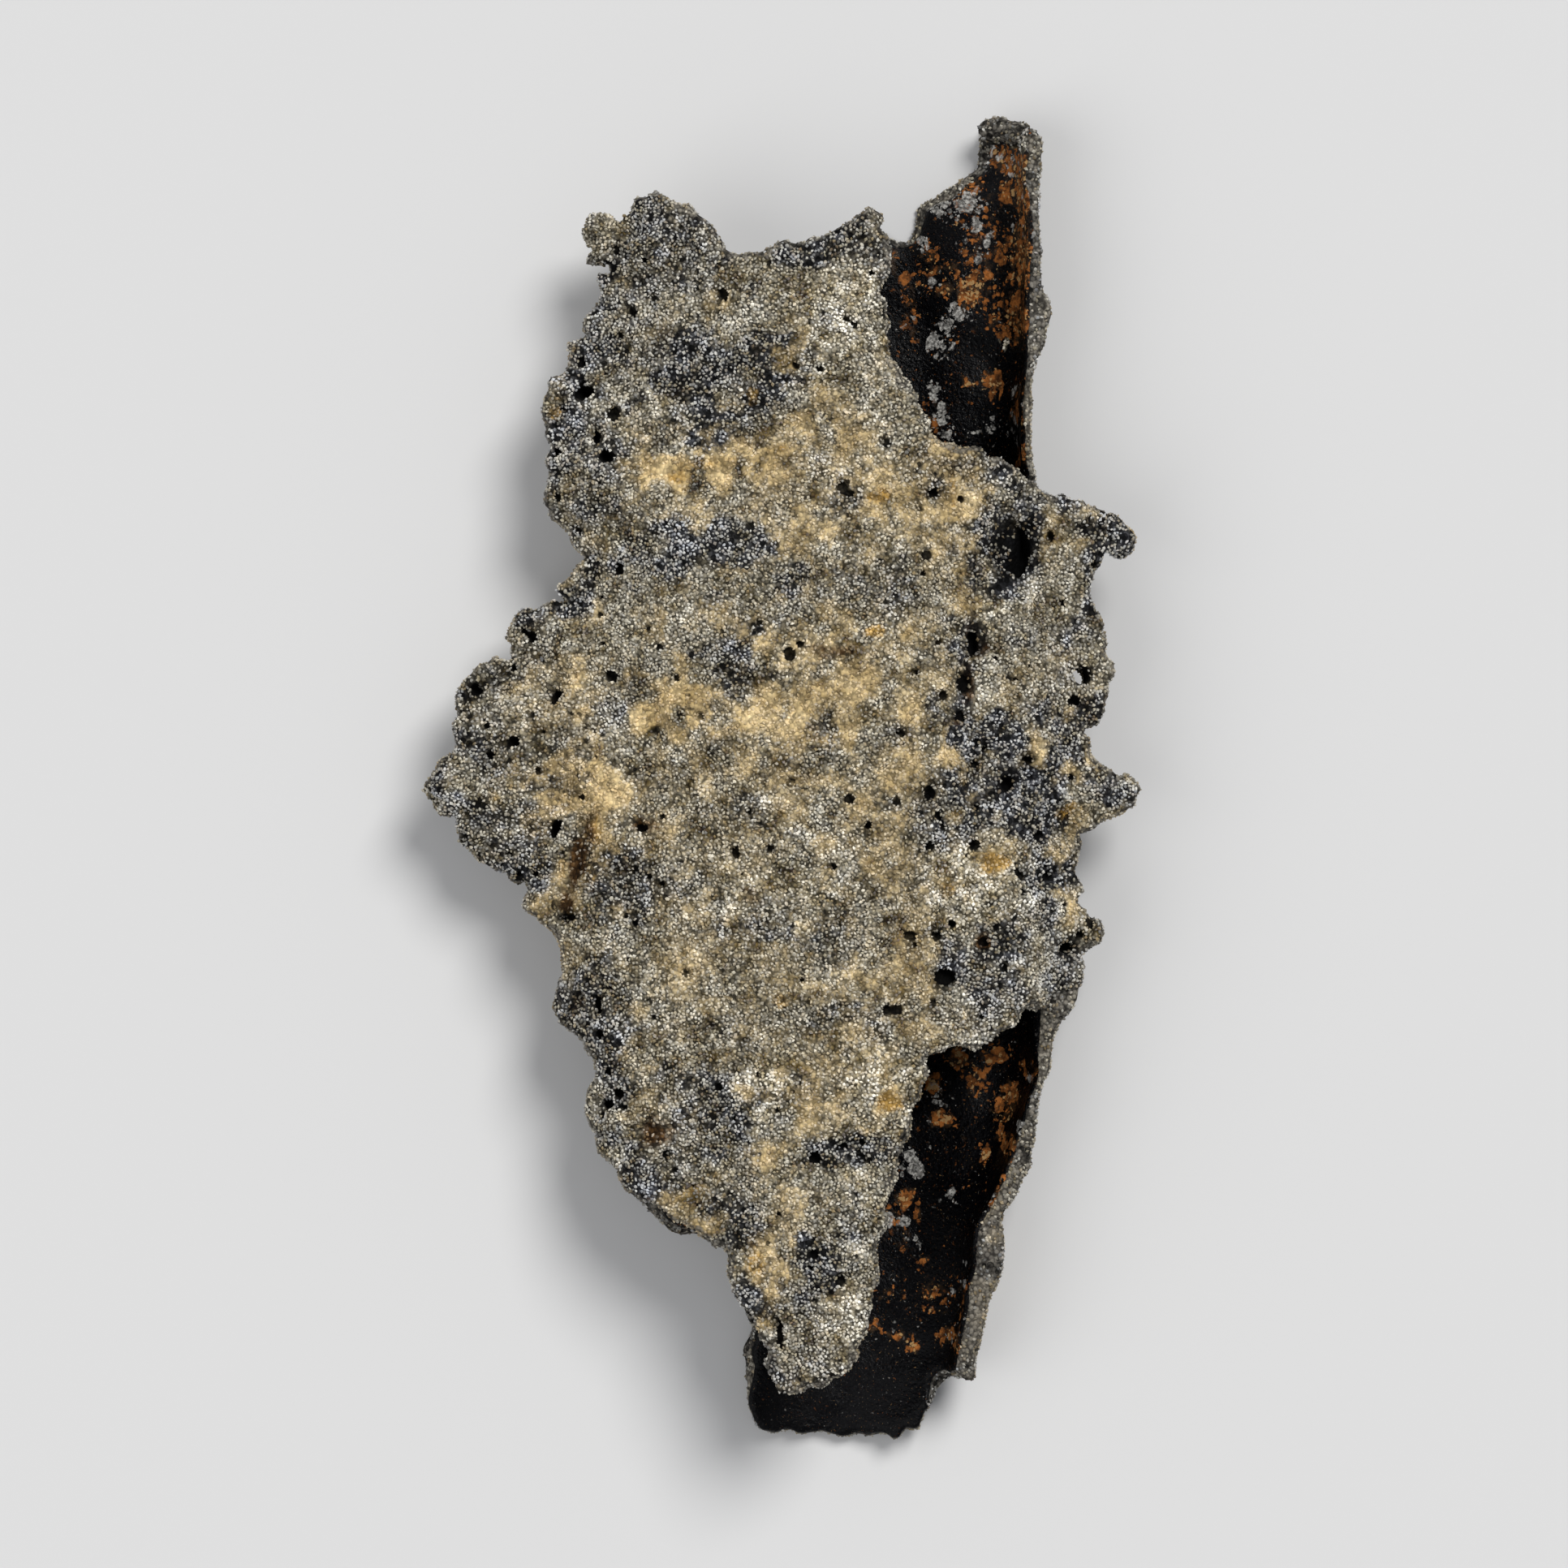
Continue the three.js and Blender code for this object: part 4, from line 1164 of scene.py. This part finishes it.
def new_material(name):
    material = bpy.data.materials.new(name)
    material.use_nodes = True
    tree = material.node_tree
    return material, tree, tree.nodes["Principled BSDF"]


# ---------------------------------------------------------------- materials
def sand_colours():
    """The sand's colour from place to place, with its patches, its light and dark mottling and painted
    shade.
    """
    tree, given, out = new_group(
        "sand_colours", sand_values(CRUST_SAND) | {"Mottling": CRUST_MOTTLING}, ["Color", "Dust"])
    shade = given["Plain"]
    shares = {}
    for name, (low, high, cloud, reach) in CLOUDS.items():
        uneven = wavering(tree, cloud, reach, *CLOUD_DETAIL)
        uneven = plus(tree, uneven, wavering(tree, *CLOUD_FRINGE))
        shares[name] = ease(tree, plus(tree, mark(tree, name.lower()), uneven), low, high)
        shade = blend(tree, shares[name], shade, given[name])
    dust = times(tree, shares["Tan"], minus(tree, 1.0, shares["Slate"]))
    mottled = wavering(tree, *MOTTLES[0])
    for layer in MOTTLES[1:]:
        mottled = plus(tree, mottled, wavering(tree, *layer))
    quiet = ease(tree, dust, 0.0, 1.0, 1.0, DUST_MOTTLING)
    mottled = times(tree, times(tree, mottled, given["Mottling"]), quiet)
    rim = ease(tree, mark(tree, "rim"), *RIM_BAND, 1.0, RIM_LIGHT)
    # Painted shade, and the tip lumps' darkness, darken the colour further
    rim = times(tree, rim, ease(tree, mark(tree, "shade_and_dark"), 0.0, 1.0, 1.0, SHADE_AND_DARK_LIGHT))
    parts = {}
    for number, reach in enumerate(MOTTLING_BY_COLOUR):
        light = plus(tree, 1.0, times(tree, mottled, reach))
        parts[number] = times(tree, larger(tree, light, MOTTLED_DARKEST), rim)
    light = put(tree, "ShaderNodeCombineColor", parts).outputs[0]
    tree.links.new(blend(tree, 1.0, shade, light, "MULTIPLY"), out["Color"])
    tree.links.new(dust, out["Dust"])
    return tree


def foam(tree, where, slate):
    """Small burst bubbles crowded together where the crust is slaty: 1 inside each of them."""
    cells = put(tree, "ShaderNodeTexVoronoi", {"Vector": where, "Scale": 1 / (FOAM_SIZE * MM)})
    parts = put(tree, "ShaderNodeSeparateXYZ", {0: cells.outputs["Color"]})
    plenty = plus(tree, times(tree, slate, FOAM_IN_SLATE), FOAM_ELSEWHERE)
    size = ease(tree, minus(tree, plenty, parts.outputs[0]), *FOAM_PLENTY, 0.0, FOAM_BIGGEST)
    return ease(tree, minus(tree, size, cells.outputs["Distance"]), *FOAM_EDGE)


def grit():
    """Packed sand grains: their roundness, each one's own random value, the gaps between."""
    tree, given, out = new_group(
        "grit", {"Grains per Metre": GRIT_PER_METRE}, ["Gap", "Random", "Height"])
    cells = put(tree, "ShaderNodeTexVoronoi", {"Vector": object_place(tree), "Scale": given[0]})
    distance = cells.outputs["Distance"]
    parts = put(tree, "ShaderNodeSeparateColor", {"Color": cells.outputs["Color"]})
    tree.links.new(ease(tree, distance, *GRIT_GAP), out["Gap"])
    tree.links.new(parts.outputs[0], out["Random"])
    tree.links.new(minus(tree, 1.0, distance), out["Height"])
    return tree


def scattered_specks():
    """Small rounded blobs, strewn thinly or thickly."""
    tree, given, out = new_group(
        "scattered_specks", {"Amount": 0.5, "Specks per Metre": 3000.0}, ["Mask"])
    bent = vector(tree, "MULTIPLY_ADD", {
        0: noise_at(tree, *SPECK_BENDS, "Color"), 1: (SPECK_BENT * MM,) * 3, 2: object_place(tree)})
    cells = put(tree, "ShaderNodeTexVoronoi", {"Vector": bent, "Scale": given["Specks per Metre"]})
    chance = put(tree, "ShaderNodeSeparateColor", {"Color": cells.outputs["Color"]}).outputs[0]
    size = ease(tree, minus(tree, given["Amount"], chance), *SPECK_PLENTY, 0.0, SPECK_BIGGEST)
    inside = minus(tree, size, cells.outputs["Distance"])
    tree.links.new(ease(tree, inside, *SPECK_EDGE), out["Mask"])
    return tree


def stained_glass(tree, specks):
    """The bore's black glass with its rust and bloom: the colour, and where it is stained."""
    def strewn(mark_name, layers):
        """Specks of each layer's size, as thick on the ground as the mark says."""
        found = None
        for size, plenty in layers:
            amount = times(tree, mark(tree, mark_name), plenty)
            values = {"Amount": amount, "Specks per Metre": 1 / (size * MM)}
            mask = put(tree, "ShaderNodeGroup", values, node_tree=specks).outputs["Mask"]
            found = mask if found is None else larger(tree, found, mask)
        return found

    rust, gold = strewn("rust", RUST_SPECKS), strewn("rust", GOLD_SPECKS)
    bloom = strewn("bloom", BLOOM_SPECKS)
    bloom = times(tree, bloom, ease(tree, noise_at(tree, *BLOOM_GAPS), *BLOOM_GAP_BAND))
    hazy = ease(tree, plus(tree, mark(tree, "rust"), wavering(tree, *HAZE)), *HAZE_BAND)
    glass = blend(tree, hazy, colour(*BLACK_GLASS), colour(*HAZY_GLASS))
    rusty = ease(tree, noise_at(tree, *RUST_CLOUDS), *RUST_BAND)
    glass = blend(tree, rust, glass, blend(tree, rusty, *(colour(*c) for c in RUST_COLOURS)))
    glass = blend(tree, gold, glass, colour(*GOLD_COLOUR))
    milky = ease(tree, noise_at(tree, *BLOOM_CLOUDS), *BLOOM_BAND)
    glass = blend(tree, bloom, glass, blend(tree, milky, *(colour(*c) for c in BLOOM_COLOURS)))
    return glass, larger(tree, rust, bloom)


def fused_sand_material(colours, grains, specks):
    """Sandy crust outside, with shade painted into its pits and bubbles, and black glass in the bore,
    rusted and bloomed in patches.
    """
    material, tree, shader = new_material("fused_sand")
    shader.inputs["IOR"].default_value = QUARTZ_IOR
    shader.inputs["Specular IOR Level"].default_value = CRUST_SPECULAR
    sand = put(tree, "ShaderNodeGroup", sand_values(CRUST_SAND), node_tree=colours)
    cells = put(tree, "ShaderNodeGroup", node_tree=grains)
    light = ease(tree, cells.outputs["Random"], 0.0, 1.0, *GRIT_LIGHT)
    gap = ease(tree, sand.outputs["Dust"], 0.0, 1.0, *GAP_SHADE)
    gap = times(tree, cells.outputs["Gap"], gap)
    light = times(tree, light, minus(tree, 1.0, gap))
    bubbles = foam(tree, object_place(tree), mark(tree, "slate"))
    # Painted shade inside each small burst bubble
    light = times(tree, light, ease(tree, bubbles, 0.0, 1.0, 1.0, BUBBLE_SHADE_LIGHT))
    # Painted shade at the bottoms of pits and on the walls of burst holes
    light = times(tree, light, ease(tree, mark(tree, "pit"), *PIT_BAND, 1.0, PIT_SHADE_LIGHT))
    rim = ease(tree, mark(tree, "rim"), *RIM_BAND, 0.0, BROKEN_SHARE)
    crust = shaded(tree, blend(tree, rim, sand.outputs["Color"], colour(*BROKEN_SAND)), light)

    glass, stained = stained_glass(tree, specks)
    glassy = plus(tree, mark(tree, "glass"), wavering(tree, *GLASS_BORDER))
    glassy = ease(tree, glassy, *GLASS_BAND)
    tree.links.new(blend(tree, glassy, crust, glass), shader.inputs["Base Color"])
    smooth = ease(tree, stained, 0.0, 1.0, *GLASS_ROUGHNESS)
    tree.links.new(mix_values(tree, glassy, CRUST_ROUGHNESS, smooth), shader.inputs["Roughness"])

    sandy = minus(tree, cells.outputs["Height"], times(tree, bubbles, BUBBLE_DEPTH))
    height = mix_values(tree, glassy, sandy, noise_at(tree, *GLASS_RIPPLE))
    bump = put(tree, "ShaderNodeBump", {
        "Height": height, "Strength": BUMP_STRENGTH, "Distance": BUMP_HEIGHT * MM})
    tree.links.new(bump.outputs["Normal"], shader.inputs["Normal"])
    return material


def grain_material(name, own, share, colours):
    """Rounded quartz: partly the sand's colour where it lies, partly its own."""
    material, tree, shader = new_material(name)
    shader.inputs["IOR"].default_value = QUARTZ_IOR
    shader.inputs["Roughness"].default_value = GRAIN_ROUGHNESS
    shader.inputs["Specular IOR Level"].default_value = GRAIN_SPECULAR
    values = sand_values(GRAIN_SAND) | {"Mottling": GRAIN_MOTTLING}
    sand = put(tree, "ShaderNodeGroup", values, node_tree=colours)
    dusty = ease(tree, sand.outputs["Dust"], 0.0, 1.0, share, DUSTY_SHARE * share)
    shade = blend(tree, dusty, sand.outputs["Color"], colour(*own))
    light = ease(tree, mark(tree, "tint"), 0.0, 1.0, *GRAIN_TINT)
    tree.links.new(shaded(tree, shade, light), shader.inputs["Base Color"])
    return material


# ---------------------------------------------------------------- sand grains
def grain_tree():
    """Scatters one kind of grain over the crust, each with its own turn, size and tint."""
    tree = bpy.data.node_groups.new("scatter_grains", "GeometryNodeTree")
    sockets = {}
    for label, kind in (
            ("Geometry", "Geometry"), ("Spacing", "Float"), ("Grain Size", "Float"), ("Kind", "Int"),
            ("Kinds", "Int"), ("Seed", "Int"), ("Material", "Material")):
        socket = tree.interface.new_socket(label, in_out="INPUT", socket_type="NodeSocket" + kind)
        sockets[label] = socket.identifier
    tree.interface.new_socket("Geometry", in_out="OUTPUT", socket_type="NodeSocketGeometry")
    given = tree.nodes.new("NodeGroupInput").outputs

    def read(name, kind="FLOAT"):
        return put(tree, "GeometryNodeInputNamedAttribute", {"Name": name}, data_type=kind).outputs[0]

    def store(geometry, name, value, kind="FLOAT", domain="POINT"):
        values = {"Geometry": geometry, "Name": name, "Value": value}
        node = put(tree, "GeometryNodeStoreNamedAttribute", values, data_type=kind, domain=domain)
        return node.outputs["Geometry"]

    def chance(kind, low, high, salt):
        number = plus(tree, given["Seed"], float(salt))
        node = put(tree, "FunctionNodeRandomValue", {"Seed": number}, data_type=kind)
        wanted = [i for i in node.inputs if i.enabled and i.name in ("Min", "Max")]
        wanted[0].default_value, wanted[1].default_value = low, high
        return next(o for o in node.outputs if o.enabled)

    bare = ease(tree, read("pit"), *BARE_PIT)
    for name, how_bare in BARE_MARKS:
        bare = larger(tree, bare, times(tree, read(name), how_bare))
    bubbles = foam(tree, put(tree, "GeometryNodeInputPosition").outputs[0], read("slate"))
    bare = larger(tree, bare, times(tree, bubbles, BARE_BUBBLES))
    share = minus(tree, 1.0, bare, clamp=True)
    most = over(tree, GRAIN_TRIES, times(tree, given["Spacing"], given["Spacing"]))
    points = put(tree, "GeometryNodeDistributePointsOnFaces", {
        "Mesh": given["Geometry"], "Distance Min": given["Spacing"], "Density Max": most,
        "Density Factor": share, "Seed": given["Seed"]}, distribute_method="POISSON").outputs["Points"]
    points = store(points, "tint", chance("FLOAT", 0.0, 1.0, 1))
    number = put(tree, "GeometryNodeInputIndex").outputs[0]
    points = store(points, "number", number)
    of_kind = calc(tree, number, given["Kinds"], "MODULO")
    of_kind = put(tree, "FunctionNodeCompare", {0: of_kind, 1: given["Kind"]}, operation="EQUAL")

    blob = put(tree, "GeometryNodeMeshUVSphere", {"Segments": GRAIN_SIDES, "Rings": 2, "Radius": 0.5})
    blob = store(blob.outputs["Mesh"], "own_map", blob.outputs["UV Map"], "FLOAT2", "CORNER")
    smallest, largest = ((limit,) * 3 for limit in GRAIN_STRETCH)
    size = vector(tree, "SCALE", {
        0: chance("FLOAT_VECTOR", smallest, largest, 2), "Scale": given["Grain Size"]})
    placed = put(tree, "GeometryNodeInstanceOnPoints", {
        "Points": points, "Selection": of_kind.outputs[0], "Instance": blob, "Scale": size,
        "Rotation": chance("FLOAT_VECTOR", (0.0,) * 3, (math.tau,) * 3, 3)}).outputs[0]
    real = put(tree, "GeometryNodeRealizeInstances", {"Geometry": placed}).outputs[0]

    # No grain goes below the surface that the piece lies on
    place = put(tree, "GeometryNodeInputPosition").outputs[0]
    above = vector(tree, "MAXIMUM", {0: place, 1: (-1.0, -1.0, 0.0)})
    real = put(tree, "GeometryNodeSetPosition", {"Geometry": real, "Position": above}).outputs[0]

    # A map of its own: one small square for each grain, row after row
    order = calc(tree, over(tree, read("number"), given["Kinds"]), 0.0, "FLOOR")
    row = calc(tree, over(tree, order, float(MAP_CELLS)), 0.0, "FLOOR")
    column = calc(tree, order, float(MAP_CELLS), "MODULO")
    corner = put(tree, "ShaderNodeCombineXYZ", {0: column, 1: row}).outputs[0]
    inner = vector(tree, "MULTIPLY_ADD", {
        0: read("own_map", "FLOAT_VECTOR"), 1: (MAP_INNER,) * 3, 2: ((1 - MAP_INNER) / 2,) * 3})
    inner = vector(tree, "ADD", {0: corner, 1: inner})
    inner = vector(tree, "SCALE", {0: inner, "Scale": 1 / MAP_CELLS})
    real = store(real, "OFBake", inner, "FLOAT2", "CORNER")
    for name in ("own_map", "number", "glass", "pit", "rust", "bloom"):
        real = put(tree, "GeometryNodeRemoveAttribute", {"Geometry": real, "Name": name}).outputs[0]
    real = put(tree, "GeometryNodeSetMaterial", {"Geometry": real, "Material": given["Material"]})
    tree.links.new(real.outputs[0], tree.nodes.new("NodeGroupOutput").inputs[0])
    return tree, sockets


def grain_pieces(body, colours):
    tree, sockets = grain_tree()
    pieces = []
    for kind, (name, own, share) in enumerate(GRAIN_KINDS):
        finish = grain_material(name, own, share, colours)
        piece = bpy.data.objects.new(name, body.data)
        bpy.context.scene.collection.objects.link(piece)
        scatter = piece.modifiers.new("scatter", "NODES")
        scatter.node_group = tree
        for label, value in (
                ("Spacing", GRAIN_SPACING * MM), ("Grain Size", GRAIN_SIZE * MM), ("Kind", kind),
                ("Kinds", len(GRAIN_KINDS)), ("Seed", GRAIN_SEED), ("Material", finish)):
            scatter[sockets[label]] = value
        seen = piece.evaluated_get(bpy.context.evaluated_depsgraph_get())
        piece.data = bpy.data.meshes.new_from_object(seen)
        piece.modifiers.clear()
        piece.data.materials.clear()
        piece.data.materials.append(finish)
        piece.data.polygons.foreach_set("material_index", np.zeros(len(piece.data.polygons), np.int32))
        piece.data.shade_flat()
        pieces.append(piece)
    return pieces


# ---------------------------------------------------------------- floor, light and camera
def studio():
    scene = bpy.context.scene
    floor_mesh = bpy.data.meshes.new("floor")
    corners = [(-1, -1), (1, -1), (1, 1), (-1, 1)]
    floor_mesh.from_pydata([(FLOOR_REACH * x, FLOOR_REACH * y, 0) for x, y in corners], [], [range(4)])
    floor = bpy.data.objects.new("floor", floor_mesh)
    scene.collection.objects.link(floor)
    paint, _, shader = new_material("pale_floor")
    shader.inputs["Base Color"].default_value = FLOOR_COLOUR
    shader.inputs["Roughness"].default_value = FLOOR_ROUGHNESS
    floor_mesh.materials.append(paint)

    for name, place, softness, power in LIGHTS:
        light = bpy.data.lights.new(name, "SUN")
        light.angle, light.energy = softness, power
        lamp = bpy.data.objects.new(name, light)
        lamp.location = place
        lamp.rotation_euler = (-lamp.location).to_track_quat("-Z", "Y").to_euler()
        scene.collection.objects.link(lamp)

    world = bpy.data.worlds.new("soft_room")
    world.use_nodes = True
    room = world.node_tree.nodes["Background"].inputs
    room["Color"].default_value = ROOM_COLOUR
    room["Strength"].default_value = ROOM_STRENGTH
    scene.world = world
    scene.view_settings.view_transform = "Standard"

    camera = bpy.data.cameras.new("camera")
    camera.lens, camera.sensor_width = LENS, SENSOR
    camera.clip_start = CLIP_START
    across = PLAN_SIDE * PLAN_UNIT * MM
    eye = bpy.data.objects.new("camera", camera)
    eye.location = (0, EYE_Y, PLAN_LEVEL + across * camera.lens / camera.sensor_width)
    scene.collection.objects.link(eye)
    scene.camera = eye


studio()
body = body_object()
colours = sand_colours()
body.data.materials.append(fused_sand_material(colours, grit(), scattered_specks()))
pieces = [body] + grain_pieces(body, colours)
for piece in pieces:
    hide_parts(NODE)
    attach(piece, BODY)
